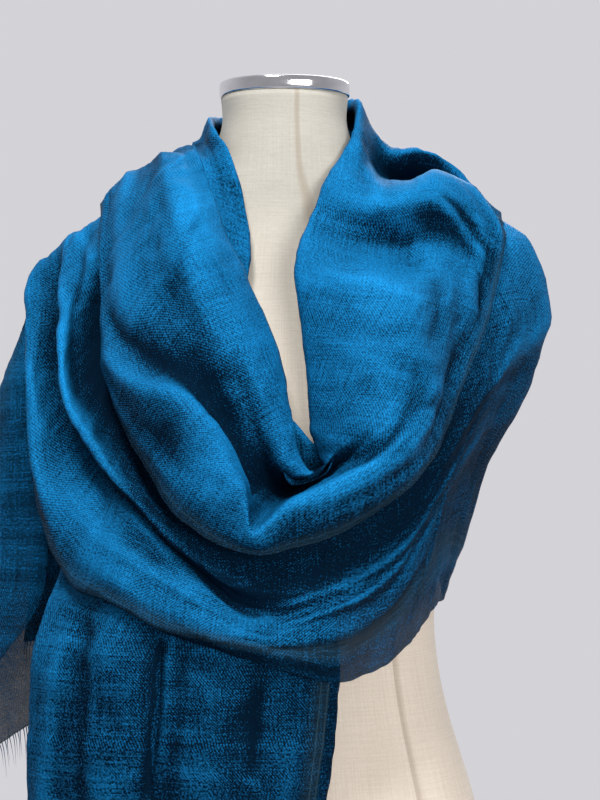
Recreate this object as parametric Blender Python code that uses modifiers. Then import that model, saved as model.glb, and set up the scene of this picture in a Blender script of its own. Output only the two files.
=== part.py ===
"""A linen shawl wound round a dress form on a counter stand.

The shawl is folded lengthwise. Its outer flap is the cowl, whose fold stands at the neck, and its inner flap
hangs lower. One end drops in front, the wrap goes round the back of the neck and over the right shoulder,
swags across the front, and goes over the left shoulder, where the other end is thrown down the back.

The form faces -Y, +X is on the right of someone who looks at it, and the floor is at z = 0.
Sizes and tables are in millimetres, and the solids are in metres.
"""

import math

import bmesh
import bpy
import numpy as np
from mathutils import Vector
from mathutils.bvhtree import BVHTree

MM = 0.001
UP = Vector((0, 0, 1))

# Driving sizes of the cloth
WALL = 2.0
SEAM_GAP = 0.5
SEAM_FADE = 90.0
LAYER_PITCH = 5.0
SKIRT = 14.0
TURN_GAP = 6.0
TURN_DEPTH = 16.0
MOST_LIFT = 22.0

# Driving sizes of the form and its stand
FORM_BOTTOM = 360.0
NECK_TOP = 1088.0
CAP_HEIGHT = 12.0
CAP_OVERHANG = 1.6
CAP_BEVEL = 1.2
POLE_RADIUS = 14.0
BASE_RADIUS = 150.0
BASE_THICKNESS = 8.0
BASE_BEVEL = 2.0
REST_GAP = 0.3
FORM_SIDES = 24
FORM_ROUNDNESS = 2.25
BUST_HEIGHT = 812.0
BUST_REACH = 18.0
BUST_APART = 80.0
BUST_SIZE = 62.0

# Rings of the form: height, half width, depth of the front and depth of the back
FORM_RINGS = (
    (360, 160, 105, 115),
    (400, 168, 109, 121),
    (440, 172, 112, 125),
    (480, 165, 108, 120),
    (520, 153, 102, 108),
    (560, 141, 96, 96),
    (600, 133, 90, 86),
    (640, 130, 87, 80),
    (690, 136, 98, 86),
    (740, 146, 114, 94),
    (790, 153, 124, 98),
    (850, 162, 108, 102),
    (910, 168, 84, 98),
    (950, 167, 68, 88),
    (972, 157, 60, 79),
    (992, 126, 57, 71),
    (1010, 90, 56, 66),
    (1028, 66, 55, 62),
    (1047, 59, 54, 58),
    (1066, 54, 53, 56),
    (1088, 55, 54, 57),
)

# Columns of the outer flap, from the fold at the neck to the free selvage:
# neck, crest, dip, rise, roll, under, selvage

# Sections of the outer flap, from the left chest round the back of the neck to the front and down the back
OUTER = {
    "chest_low": ((46, -141, 757), (6, -138, 755), (-30, -141, 752), (-62, -133, 752), (-84, -121, 752),
                  (-98, -111, 752), (-110, -100, 752)),
    "chest_mid": ((-24, -131, 840), (-42, -132, 842), (-60, -131, 844), (-77, -126, 846), (-92, -117, 848),
                  (-104, -106, 850), (-113, -96, 850)),
    "chest_high": ((-36, -95, 920), (-50, -99, 926), (-64, -98, 931), (-78, -95, 935), (-91, -90, 938),
                   (-102, -82, 940), (-111, -74, 940)),
    "collarbone": ((-36, -66, 975), (-49, -70, 984), (-63, -69, 989), (-78, -66, 989), (-92, -61, 987),
                   (-104, -54, 985), (-113, -46, 982)),
    "neck_left": ((-48, -50, 1034), (-61, -48, 1029), (-73, -44, 1024), (-86, -38, 1018), (-98, -31, 1013),
                  (-109, -23, 1008), (-118, -15, 1003)),
    "shoulder_left": ((-61, 0, 1067), (-69, 6, 1052), (-79, 10, 1040), (-89, 12, 1032), (-99, 14, 1028),
                      (-108, 16, 1025), (-116, 19, 1021)),
    "back_left": ((-48, 59, 1078), (-62, 69, 1060), (-77, 79, 1040), (-91, 88, 1020), (-105, 95, 998),
                  (-118, 100, 974), (-129, 103, 950)),
    "back_middle": ((0, 76, 1087), (0, 88, 1068), (-1, 99, 1041), (-2, 108, 1010), (-2, 116, 975),
                    (-2, 118, 940), (-2, 115, 904)),
    "back_right": ((46, 58, 1088), (62, 72, 1070), (79, 84, 1048), (96, 92, 1023), (114, 98, 992),
                   (131, 100, 958), (146, 96, 925)),
    "shoulder_back": ((56, 34, 1087), (70, 42, 1070), (90, 46, 1050), (112, 48, 1038), (138, 56, 1015),
                      (163, 58, 990), (184, 52, 962)),
    "rim": ((60, 6, 1082), (72, 6, 1066), (92, -4, 1038), (114, -8, 1037), (140, -6, 1033), (165, -4, 1012),
            (187, -4, 985)),
    "pocket_floor": ((52, -16, 1059), (66, -22, 1044), (90, 10, 1013), (112, 20, 1000), (134, 6, 1006),
                     (163, -14, 1002), (187, -22, 979)),
    "pocket_rim": ((40, -38, 1030), (57, -56, 1018), (82, -66, 1007), (107, -66, 1010), (131, -52, 1018),
                   (161, -42, 1002), (185, -39, 973)),
    "ridge_high": ((24, -64, 1000), (51, -90, 988), (83, -102, 984), (116, -89, 992), (148, -71, 989),
                   (174, -59, 973), (185, -54, 961)),
    "hollow": ((14, -86, 972), (44, -92, 957), (83, -88, 953), (120, -75, 960), (148, -67, 951),
               (168, -66, 938), (175, -66, 924)),
    "ridge_low": ((2, -112, 934), (35, -137, 921), (76, -147, 915), (114, -125, 918), (142, -104, 913),
                  (158, -91, 900), (162, -88, 888)),
    "chest_right": ((7, -134, 874), (35, -163, 872), (71, -174, 868), (99, -163, 864), (124, -140, 858),
                    (135, -124, 850), (139, -120, 842)),
    "low_right": ((11, -147, 834), (37, -176, 834), (69, -187, 831), (91, -182, 826), (109, -168, 818),
                  (115, -154, 802), (115, -148, 789)),
    "lap_right": ((12, -152, 802), (36, -184, 801), (54, -197, 797), (66, -202, 792), (76, -200, 785),
                  (82, -186, 767), (80, -177, 752)),
    "roll_right": ((17, -158, 784), (26, -178, 782), (28, -160, 771), (30, -186, 768), (30, -209, 762),
                   (29, -202, 738), (28, -193, 721)),
    "roll_inner": ((22, -163, 772), (15, -175, 770), (6, -140, 757), (0, -178, 752), (-6, -209, 748),
                   (-5, -205, 726), (-4, -197, 712)),
    "notch": ((8, -166, 768), (0, -172, 767), (-13, -139, 750), (-28, -180, 737), (-38, -212, 726),
              (-36, -207, 715), (-33, -198, 707)),
    "lap_left": ((2, -163, 777), (-8, -174, 773), (-22, -146, 759), (-34, -182, 749), (-43, -209, 744),
                 (-53, -199, 725), (-57, -192, 713)),
    "low_left": ((-5, -158, 806), (-17, -176, 801), (-32, -168, 790), (-46, -180, 783), (-62, -206, 778),
                 (-78, -201, 750), (-89, -190, 731)),
    "chest_left": ((-16, -142, 864), (-30, -168, 857), (-50, -174, 849), (-69, -172, 835), (-91, -192, 817),
                   (-109, -180, 785), (-118, -166, 769)),
    "band_low": ((-37, -117, 920), (-52, -148, 913), (-74, -162, 904), (-98, -153, 880), (-121, -158, 844),
                 (-133, -146, 820), (-138, -132, 806)),
    "band_mid": ((-58, -98, 968), (-74, -124, 962), (-94, -137, 952), (-119, -124, 931), (-145, -112, 886),
                 (-154, -100, 868), (-153, -88, 853)),
    "band_high": ((-67, -66, 1006), (-82, -84, 1002), (-103, -92, 994), (-127, -84, 978), (-149, -66, 942),
                  (-157, -62, 927), (-154, -58, 914)),
    "band_top": ((-76, -22, 1038), (-89, -22, 1037), (-105, -18, 1033), (-124, -12, 1026), (-142, -6, 1014),
                 (-152, -1, 1004), (-157, 2, 994)),
    "over_shoulder": ((-84, 26, 1040), (-97, 28, 1038), (-111, 30, 1033), (-126, 32, 1026), (-141, 34, 1016),
                      (-152, 36, 1004), (-158, 40, 991)),
    "throw_neck": ((-82, 92, 1038), (-96, 102, 1027), (-112, 110, 1009), (-130, 113, 990), (-149, 110, 969),
                   (-165, 106, 950), (-173, 104, 934)),
    "throw_high": ((-54, 130, 966), (-74, 139, 957), (-98, 141, 946), (-122, 140, 934), (-146, 134, 920),
                   (-167, 122, 904), (-181, 112, 890)),
    "throw_mid": ((-40, 144, 858), (-64, 151, 850), (-92, 152, 842), (-120, 150, 834), (-149, 142, 824),
                  (-178, 129, 814), (-201, 112, 804)),
    "throw_low": ((-30, 142, 742), (-58, 152, 737), (-90, 143, 732), (-122, 146, 728), (-156, 134, 722),
                  (-188, 126, 716), (-218, 104, 712)),
    "throw_hem": ((-22, 142, 626), (-54, 156, 620), (-88, 142, 616), (-124, 150, 612), (-162, 134, 610),
                  (-199, 132, 606), (-233, 110, 604)),
}

# Columns of the inner flap, from its hidden top to the low selvage and the edge turned under there:
# top, lap, brow, ridge, trough, strip, selvage, turned

# Sections of the inner flap, from the left shoulder across the back to the right side and the front
INNER = {
    "gather": ((-64, 34, 1044), (-75, 36, 1034), (-87, 38, 1026), (-98, 40, 1020), (-109, 42, 1014),
               (-120, 44, 1008), (-130, 46, 1001), (-139, 48, 992)),
    "back_left": ((-44, 62, 1066), (-60, 72, 1042), (-76, 82, 1017), (-91, 90, 990), (-104, 96, 962),
                  (-116, 100, 932), (-126, 102, 900), (-132, 98, 868)),
    "back_middle": ((-4, 70, 1076), (-8, 84, 1038), (-12, 99, 998), (-18, 108, 956), (-26, 118, 912),
                    (-34, 118, 868), (-44, 120, 824), (-54, 110, 784)),
    "back_right": ((42, 62, 1078), (54, 80, 1036), (62, 95, 992), (66, 108, 944), (66, 118, 894),
                   (62, 118, 843), (54, 118, 792), (44, 104, 742)),
    "blade_right": ((84, 46, 1052), (114, 66, 1014), (136, 82, 966), (148, 95, 912), (150, 102, 858),
                    (142, 103, 804), (126, 100, 750), (106, 88, 702)),
    "side_back": ((118, 28, 1014), (152, 34, 986), (184, 44, 944), (196, 50, 896), (188, 53, 842),
                  (168, 52, 784), (143, 46, 726), (129, 36, 678)),
    "side": ((156, -5, 986), (204, -9, 973), (229, -10, 926), (225, -10, 874), (204, -10, 826),
             (176, -14, 761), (149, -24, 697), (130, -44, 657)),
    "side_front": ((148, -50, 962), (180, -50, 941), (201, -48, 903), (197, -49, 862), (179, -51, 822),
                   (157, -54, 767), (137, -63, 704), (122, -73, 656)),
    "hip_right": ((126, -90, 905), (156, -90, 874), (167, -91, 849), (160, -92, 822), (148, -94, 793),
                  (134, -97, 752), (118, -103, 694), (104, -111, 640)),
    "lap_right": ((104, -130, 838), (124, -128, 814), (129, -128, 792), (124, -130, 769), (117, -132, 745),
                  (108, -135, 717), (97, -140, 673), (83, -142, 622)),
    "front_right": ((68, -152, 778), (88, -150, 759), (91, -152, 743), (86, -159, 723), (81, -165, 704),
                    (76, -166, 680), (69, -163, 648), (60, -157, 611)),
    "front_middle": ((30, -166, 738), (38, -167, 724), (40, -172, 710), (38, -178, 694), (36, -182, 677),
                     (33, -184, 659), (30, -183, 631), (26, -172, 605)),
    "front_fold": ((-17, -170, 724), (-10, -173, 710), (-9, -178, 697), (-10, -184, 679), (-14, -184, 662),
                   (-15, -191, 646), (-14, -195, 632), (-12, -184, 616)),
    "front_left": ((-57, -168, 726), (-54, -171, 712), (-52, -176, 698), (-49, -184, 681), (-45, -174, 665),
                   (-48, -190, 653), (-50, -196, 639), (-45, -182, 627)),
    "lap_left": ((-91, -150, 774), (-87, -158, 733), (-90, -166, 720), (-89, -176, 708), (-82, -162, 698),
                 (-91, -175, 674), (-94, -179, 647), (-87, -164, 638)),
    "hip_left": ((-117, -114, 816), (-115, -122, 769), (-122, -136, 757), (-124, -148, 743), (-113, -130, 730),
                 (-131, -147, 696), (-139, -150, 666), (-131, -133, 657)),
    "swing_low": ((-128, -74, 862), (-138, -78, 828), (-149, -94, 803), (-157, -121, 784), (-145, -90, 762),
                  (-168, -116, 721), (-182, -112, 686), (-174, -92, 676)),
    "swing_mid": ((-135, -60, 893), (-150, -52, 868), (-171, -68, 841), (-182, -98, 822), (-174, -50, 806),
                  (-203, -72, 768), (-209, -66, 742), (-202, -48, 732)),
    "swing_high": ((-136, -50, 920), (-154, -36, 901), (-175, -48, 887), (-190, -67, 872), (-188, -24, 857),
                   (-214, -35, 847), (-217, -26, 828), (-209, -12, 812)),
    "arm_left": ((-134, -44, 968), (-152, -40, 955), (-172, -28, 942), (-190, -24, 925), (-193, -6, 912),
                 (-220, 0, 906), (-223, 10, 890), (-215, 18, 874)),
    "arm_top": ((-136, 17, 1009), (-150, 18, 997), (-163, 20, 983), (-182, 20, 972), (-199, 26, 957),
                (-217, 28, 942), (-223, 32, 922), (-216, 36, 898)),
    "throw_neck": ((-122, 122, 966), (-141, 115, 957), (-156, 98, 943), (-176, 80, 936), (-197, 64, 928),
                   (-216, 52, 915), (-226, 46, 902), (-218, 49, 888)),
    "throw_high": ((-98, 126, 868), (-126, 122, 866), (-154, 111, 862), (-181, 100, 858), (-208, 84, 854),
                   (-235, 58, 850), (-244, 36, 848), (-206, 12, 850)),
    "throw_mid": ((-92, 130, 758), (-124, 132, 757), (-156, 121, 756), (-188, 115, 755), (-220, 95, 754),
                  (-252, 66, 752), (-262, 42, 752), (-208, 6, 757)),
    "throw_low": ((-90, 130, 650), (-126, 134, 650), (-162, 123, 650), (-197, 120, 650), (-232, 100, 650),
                  (-268, 72, 650), (-284, 48, 650), (-211, 5, 652)),
    "throw_tip": ((-92, 129, 590), (-128, 133, 586), (-164, 122, 582), (-198, 118, 576), (-232, 99, 570),
                  (-272, 72, 562), (-292, 48, 556), (-262, 24, 574)),
    "throw_hem": ((-95, 128, 562), (-130, 132, 556), (-165, 123, 549), (-198, 116, 541), (-229, 100, 529),
                  (-264, 74, 508), (-291, 52, 491), (-303, 40, 488)),
}

# Columns of the front end's front panel: right edge, right, crease, left, left edge

# Sections of the front end from its hem up, and how far the two panels behind it stand back
TAIL = {
    "hem": ((8, -150, 292), (-46, -166, 292), (-112, -162, 292), (-170, -142, 292), (-216, -104, 292)),
    "low": ((10, -150, 400), (-45, -167, 400), (-112, -160, 400), (-168, -142, 400), (-215, -104, 400)),
    "mid": ((16, -151, 509), (-44, -168, 509), (-113, -158, 509), (-166, -142, 509), (-213, -105, 509)),
    "high": ((24, -158, 574), (-42, -171, 574), (-113, -159, 574), (-164, -142, 574), (-210, -106, 574)),
    "under_fold": ((26, -160, 618), (-38, -172, 618), (-112, -160, 618), (-160, -142, 618), (-208, -106, 618)),
    "hip": ((14, -158, 664), (-40, -168, 664), (-104, -156, 664), (-150, -132, 664), (-190, -86, 676)),
    "top": ((-28, -156, 750), (-52, -158, 768), (-80, -152, 772), (-106, -136, 772), (-128, -110, 772)),
}
TAIL_LAYER = 8.0
TAIL_PEEK = 8.0
TAIL_BACK_INSET = 24.0

# Creases: sheet, name, start, middle and end as (section number, column number), rise and width
OUTER_CREASES = (
    ("left roll", (26.0, 5.0), (24.0, 4.1), (21.6, 3.6), 4.0, 11.0),
    ("left roll groove", (26.3, 4.2), (24.2, 3.2), (21.8, 2.6), -6.0, 10.0),
    ("band ridge", (25.4, 1.2), (27.0, 1.8), (30.5, 2.4), 4.0, 16.0),
    ("band hollow", (25.0, 2.6), (26.4, 2.9), (28.6, 3.2), -4.0, 15.0),
    ("chest pull", (13.6, 1.0), (15.2, 2.0), (17.0, 3.6), 4.0, 18.0),
    ("chest hollow", (14.4, 3.4), (15.6, 4.2), (17.0, 5.0), -4.0, 15.0),
    ("nape ridge", (6.0, 2.4), (7.0, 3.4), (8.6, 2.4), 6.0, 17.0),
    ("nape hollow", (5.9, 1.2), (7.0, 1.9), (8.7, 1.2), -5.0, 13.0),
    ("nape low ridge", (6.1, 4.4), (7.0, 5.1), (8.4, 4.3), 5.0, 15.0),
    ("throw ridge", (30.6, 1.4), (32.5, 1.2), (35.0, 0.9), 6.0, 16.0),
    ("throw hollow", (30.8, 2.6), (32.5, 2.4), (35.0, 2.2), -6.0, 15.0),
    ("throw outer ridge", (30.6, 3.9), (32.5, 3.9), (35.0, 4.1), 6.0, 16.0),
)
INNER_CREASES = (
    ("blade ridge", (1.2, 3.2), (3.0, 4.6), (5.2, 3.2), 6.0, 20.0),
    ("blade hollow", (1.4, 2.0), (3.0, 3.4), (5.0, 2.2), -5.0, 16.0),
    ("low ridge", (1.4, 5.2), (3.2, 6.2), (5.4, 5.2), 6.0, 18.0),
    ("side ridge", (5.2, 3.6), (6.6, 4.0), (8.2, 4.3), 3.0, 16.0),
    ("side hollow", (5.0, 4.8), (6.6, 5.0), (8.6, 5.2), -3.0, 14.0),
    ("lap crease", (9.0, 4.6), (10.6, 5.2), (12.2, 4.4), -2.5, 12.0),
    ("strip ridge", (14.0, 5.2), (16.0, 5.3), (18.2, 5.4), 2.5, 11.0),
    ("throw ridge", (22.4, 2.2), (24.5, 2.0), (26.6, 1.8), 5.0, 16.0),
    ("throw hollow", (22.4, 3.4), (24.5, 3.2), (26.6, 3.0), -5.0, 15.0),
)
TAIL_CREASES = (
    ("right crease", (-0.4, 0.9), (2.0, 1.1), (5.4, 0.8), -3.5, 10.0),
    ("middle ridge", (-0.6, 1.5), (2.0, 1.5), (5.4, 1.4), 2.5, 18.0),
    ("dark crease", (-0.5, 2.3), (2.2, 2.0), (5.0, 2.1), -6.0, 8.0),
    ("left ridge", (-0.6, 2.8), (2.0, 2.7), (5.4, 2.8), 2.5, 18.0),
    ("left crease", (-0.4, 3.4), (2.0, 3.4), (5.0, 3.3), -3.0, 10.0),
)

# Fringes: strands, their length and width, and how far they sway
STRAND_LENGTH = 34.0
STRAND_TIP = 0.5
STRIP_HEIGHT = 3.0
TAIL_STRANDS = 44
INNER_STRANDS = 30
OUTER_STRANDS = 26


def through(rows, knots, places):
    """Reads a smooth curve through the rows, which stand at the knots, at each of the places."""
    rows = np.asarray(rows, float)
    steps = np.diff(knots)
    shape = (-1,) + (1,) * (rows.ndim - 1)
    slopes = np.diff(rows, axis=0) / steps.reshape(shape)
    before, after = steps[:-1].reshape(shape), steps[1:].reshape(shape)
    middle = (slopes[:-1] * after + slopes[1:] * before) / (before + after)
    tangents = np.concatenate([slopes[:1], middle, slopes[-1:]])
    left = np.clip(np.searchsorted(knots, places, side="right") - 1, 0, len(steps) - 1)
    t = ((places - knots[left]) / steps[left]).reshape(shape)
    span = steps[left].reshape(shape)
    near = (2 * t**3 - 3 * t**2 + 1) * rows[left] + (t**3 - 2 * t**2 + t) * span * tangents[left]
    far = (3 * t**2 - 2 * t**3) * rows[left + 1] + (t**3 - t**2) * span * tangents[left + 1]
    return near + far


def knots_of(rows):
    """How far along the cloth each row stands, as the mean length of the steps between rows."""
    steps = np.linalg.norm(np.diff(rows, axis=0), axis=-1).mean(axis=1)
    return np.concatenate([[0.0], np.cumsum(steps)])


def normals_of(points):
    along = np.gradient(points, axis=0)
    across = np.gradient(points, axis=1)
    normal = np.cross(along, across)
    return normal / np.maximum(np.linalg.norm(normal, axis=-1, keepdims=True), 1e-9)


def turned_under(rows, gap, depth):
    """The rows with two more columns before the first, so that the edge there is a rounded fold."""
    normal = normals_of(rows)[:, 0]
    inwards = rows[:, 1] - rows[:, 0]
    inwards /= np.linalg.norm(inwards, axis=-1, keepdims=True)
    edge = rows[:, 0]
    hidden = edge - normal * gap + inwards * depth
    bend = edge - normal * gap * 0.8 + inwards * gap * 0.4
    return np.concatenate([hidden[:, None], bend[:, None], rows], axis=1)


class Cloth:
    """A sheet that runs smoothly through the sections of a table, with creases pressed into it."""

    def __init__(self, rows, creases, first_column=0):
        self.rows = np.asarray(rows, float)
        self.creases = creases
        self.first_column = first_column
        self.along = knots_of(self.rows)
        self.across = knots_of(self.rows.transpose(1, 0, 2))

    def place(self, section, column):
        """Where a section number and a column number lie on the cloth, in millimetres."""
        along = np.interp(section, np.arange(len(self.along)), self.along)
        across = np.interp(column + self.first_column, np.arange(len(self.across)), self.across)
        return np.array([along, across])

    def pressed(self, along, across):
        """How far the creases lift each point of the grid from the smooth sheet."""
        spots = np.stack(np.meshgrid(along, across, indexing="ij"), axis=-1)
        lift = np.zeros(spots.shape[:2])
        for _, start, middle, end, rise, width in self.creases:
            path = [self.place(*spot) for spot in (start, middle, end)]
            whole = sum(np.linalg.norm(b - a) for a, b in zip(path, path[1:]))
            nearest = np.full(lift.shape, np.inf)
            along_path = np.zeros(lift.shape)
            walked = 0.0
            for a, b in zip(path, path[1:]):
                leg = b - a
                length = np.linalg.norm(leg)
                t = np.clip(((spots - a) @ leg) / length**2, 0, 1)
                away = np.linalg.norm(spots - a - t[..., None] * leg, axis=-1)
                closer = away < nearest
                nearest = np.where(closer, away, nearest)
                along_path = np.where(closer, (walked + t * length) / whole, along_path)
                walked += length
            fade = np.sqrt(np.clip(1 - (2 * along_path - 1) ** 4, 0, 1))
            lift += rise * fade * np.exp(-((nearest / width) ** 2))
        return lift

    def grid(self, sections, counts, across_count):
        """Points of the run from section to section, with so many steps between one and the next."""
        stops = [self.along[section] for section in sections]
        runs = [np.linspace(a, b, count + 1)[1:] for a, b, count in zip(stops, stops[1:], counts)]
        along = np.concatenate([stops[:1], *runs])
        across = np.linspace(0, self.across[-1], across_count + 1)
        lines = through(self.rows, self.along, along)
        points = through(lines.transpose(1, 0, 2), self.across, across).transpose(1, 0, 2)
        return points + normals_of(points) * self.pressed(along, across)[..., None]


def neighbour_mean(values):
    padded = np.pad(values, ((1, 1), (1, 1), (0, 0)), mode="edge")
    return (padded[:-2, 1:-1] + padded[2:, 1:-1] + padded[1:-1, :-2] + padded[1:-1, 2:]) / 4


def lift_off(points, tree, pitch, first_row):
    """For each point, the way off the layer below and how far it has to go that way, or nothing."""
    ways = np.zeros(points.shape)
    needed = np.zeros(points.shape[:2])
    for index in np.ndindex(*needed.shape):
        spot = Vector(points[index])
        found, normal, _, far = tree.find_nearest(spot, MOST_LIFT + pitch)
        if found is None or index[0] < first_row:
            continue
        height = (spot - found).dot(normal)
        aside = math.sqrt(max(far * far - height * height, 0.0))
        if aside < pitch and height < pitch:
            ways[index] = normal
            needed[index] = min(pitch - height, MOST_LIFT)
    return ways, needed


def laid_over(points, below, pitch=LAYER_PITCH, first_row=0, folded=0):
    """The sheet, from a row on, moved until it lies the pitch above each tree below it.

    The first columns, as many as are folded, move as one, so that a turned edge keeps its form.
    """
    for _ in range(9):
        most = 0.0
        for tree in below:
            ways, needed = lift_off(points, tree, pitch, first_row)
            if folded:
                worst = needed[:, :folded].argmax(axis=1)
                rows = np.arange(len(points))
                ways[:, :folded] = ways[rows, worst][:, None]
                needed[:, :folded] = needed[rows, worst][:, None]
            most = max(most, needed.max())
            moves = ways * needed[..., None]
            for _ in range(8):
                moves = neighbour_mean(moves)
                short = np.clip(needed - (moves * ways).sum(axis=-1), 0, None)
                moves += ways * short[..., None]
            points = points + moves
        if most < 0.05:
            break
    return points


def spread(edge, count):
    """An edge's values read at this many even places along it."""
    places = np.linspace(0, 1, count)
    own = np.linspace(0, 1, len(edge))
    return np.stack([np.interp(places, own, edge[:, axis]) for axis in range(edge.shape[1])], axis=1)


def drawn_to(points, edge):
    """The sheet drawn to the edge of the stretch that it continues, less and less so further along it."""
    meeting = spread(edge[:, :3], len(points[0]))
    steps = np.linalg.norm(np.diff(points, axis=0), axis=-1).mean(axis=1)
    share = np.clip(np.concatenate([[0.0], np.cumsum(steps)]) / SEAM_FADE, 0, 1)
    share = (1 - share) ** 2 * (1 + 2 * share)
    return points + share[:, None, None] * (meeting - points[0])


def sheet_of(points, edge=None):
    """The points with the wall's direction at each. The first row takes the directions of the edge it meets."""
    sheet = np.concatenate([points, normals_of(points)], axis=-1)
    if edge is not None:
        sheet[0] = spread(edge, len(sheet[0]))
        back = sheet[1, :, :3] - sheet[0, :, :3]
        sheet[0, :, :3] += back / np.linalg.norm(back, axis=1, keepdims=True) * SEAM_GAP
    return sheet


def parted(sheet, row):
    """The stretches before and after a row, each drawn back from it by half of a seam's gap."""
    before, after = sheet[:row + 1].copy(), sheet[row:].copy()
    for end, next_in in ((before[-1], before[-2]), (after[0], after[1])):
        back = next_in[:, :3] - end[:, :3]
        end[:, :3] += back / np.linalg.norm(back, axis=1, keepdims=True) * SEAM_GAP / 2
    return before, after


def skirted(points, first_column):
    """The sheet with its edges run on a little way, so that what lies over it meets no bare edge."""
    def run_on(edge, inner):
        away = edge - inner
        return (edge + away / np.linalg.norm(away, axis=-1, keepdims=True) * SKIRT)[None]
    points = np.concatenate([run_on(points[0], points[1]), points, run_on(points[-1], points[-2])])
    across = points.transpose(1, 0, 2)
    ends = [run_on(across[0], across[1])] if first_column else []
    across = np.concatenate([*ends, across, run_on(across[-1], across[-2])])
    return across.transpose(1, 0, 2)


def tree_of(points, first_column=True):
    points = skirted(points, first_column)
    rows, columns = points.shape[:2]
    faces = []
    for i in range(rows - 1):
        for j in range(columns - 1):
            corner = i * columns + j
            faces.append((corner, corner + columns, corner + columns + 1, corner + 1))
    return BVHTree.FromPolygons([Vector(p) for p in points.reshape(-1, 3)], faces)


def material(name, colour, roughness, metallic=0.0):
    made = bpy.data.materials.new(name)
    made.use_nodes = True
    shader = made.node_tree.nodes["Principled BSDF"]
    shader.inputs["Base Color"].default_value = (*colour, 1)
    shader.inputs["Roughness"].default_value = roughness
    shader.inputs["Metallic"].default_value = metallic
    return made


def object_from(name, bm, collection, finish):
    mesh = bpy.data.meshes.new(name)
    bm.to_mesh(mesh)
    bm.free()
    mesh.shade_smooth()
    made = bpy.data.objects.new(name, mesh)
    made.data.materials.append(finish)
    collection.objects.link(made)
    return made


def grid_mesh(points):
    """A grid of faces whose corners are moved to the points."""
    rows, columns = points.shape[:2]
    bm = bmesh.new()
    bmesh.ops.create_grid(bm, x_segments=columns - 1, y_segments=rows - 1, size=1)
    bm.verts.ensure_lookup_table()
    for vertex, point in zip(bm.verts, points.reshape(-1, 3)):
        vertex.co = Vector(point) * MM
    return bm


def cloth_wall(name, sheet, collection, finish):
    """A cloth wall of even thickness, with the sheet at its middle."""
    points, directions = sheet[..., :3], sheet[..., 3:]
    bm = grid_mesh(points + directions * WALL / 2)
    number = bm.verts.layers.int.new("number")
    for vertex in bm.verts:
        vertex[number] = vertex.index
    inside = (points - directions * WALL / 2).reshape(-1, 3)
    for made in bmesh.ops.extrude_face_region(bm, geom=bm.faces[:])["geom"]:
        if isinstance(made, bmesh.types.BMVert):
            made.co = Vector(inside[made[number]]) * MM
    bmesh.ops.recalc_face_normals(bm, faces=bm.faces)
    object_from(name, bm, collection, finish)


def form_point(turn, ring):
    """A point of the form's ring, at an angle from +X, on a rounded oval that is deeper at the bust."""
    height, half_width, front, back = ring
    c, s = math.cos(turn), math.sin(turn)
    power = 2 / FORM_ROUNDNESS
    x = math.copysign(abs(c) ** power, c) * half_width
    y = math.copysign(abs(s) ** power, s) * (back if s > 0 else front)
    if s < 0:
        for side in (-1, 1):
            away = math.hypot(x - side * BUST_APART, height - BUST_HEIGHT) / BUST_SIZE
            y -= BUST_REACH * math.exp(-away * away)
    return (x, y, height)


def ring_grid(rings):
    turns = [2 * math.pi * (i + 0.5) / FORM_SIDES for i in range(FORM_SIDES + 1)]
    return np.array([[form_point(turn, ring) for turn in turns] for ring in rings])


def capped_tube(points):
    """A closed body from a grid whose first and last columns meet."""
    bm = grid_mesh(points)
    bmesh.ops.remove_doubles(bm, verts=bm.verts, dist=0.01 * MM)
    bmesh.ops.holes_fill(bm, edges=[edge for edge in bm.edges if edge.is_boundary])
    bmesh.ops.recalc_face_normals(bm, faces=bm.faces)
    return bm


def build_form(collection, linen):
    points = ring_grid(FORM_RINGS)
    object_from("form_torso", capped_tube(points), collection, linen)
    return BVHTree.FromPolygons(
        [Vector(p) for p in points.reshape(-1, 3)],
        [
            (a, a + 1, a + FORM_SIDES + 2, a + FORM_SIDES + 1)
            for row in range(len(FORM_RINGS) - 1)
            for a in range(row * (FORM_SIDES + 1), row * (FORM_SIDES + 1) + FORM_SIDES)
        ],
    )


def build_cap(collection, chrome):
    """The polished band on top of the neck, a little proud of it all round."""
    _, half_width, front, back = FORM_RINGS[-1]
    sizes = (half_width + CAP_OVERHANG, front + CAP_OVERHANG, back + CAP_OVERHANG)
    bottom = NECK_TOP + REST_GAP
    rings = [(bottom, *sizes), (NECK_TOP + CAP_HEIGHT, *sizes)]
    bm = capped_tube(ring_grid(rings))
    rims = [edge for edge in bm.edges if len({round(v.co.z, 5) for v in edge.verts}) == 1]
    bmesh.ops.bevel(bm, geom=rims, offset=CAP_BEVEL * MM, segments=1, profile=0.5, affect="EDGES", material=-1)
    object_from("neck_cap", bm, collection, chrome)


def build_stand(collection, steel, iron):
    pole_bottom = BASE_THICKNESS + REST_GAP
    pole_length = FORM_BOTTOM - REST_GAP - pole_bottom
    bpy.ops.mesh.primitive_cylinder_add(
        vertices=20, radius=POLE_RADIUS * MM, depth=pole_length * MM,
        location=(0, 0, (pole_bottom + pole_length / 2) * MM),
    )
    pole = bpy.context.object
    pole.name = "stand_pole"
    bpy.ops.mesh.primitive_cylinder_add(
        vertices=40, radius=BASE_RADIUS * MM, depth=BASE_THICKNESS * MM,
        location=(0, 0, BASE_THICKNESS / 2 * MM),
    )
    base = bpy.context.object
    base.name = "stand_base"
    rounding = base.modifiers.new("rounding", "BEVEL")
    rounding.width = BASE_BEVEL * MM
    rounding.segments = 1
    for made, finish in ((pole, steel), (base, iron)):
        made.data.materials.append(finish)
        for owner in made.users_collection:
            owner.objects.unlink(made)
        collection.objects.link(made)


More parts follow.
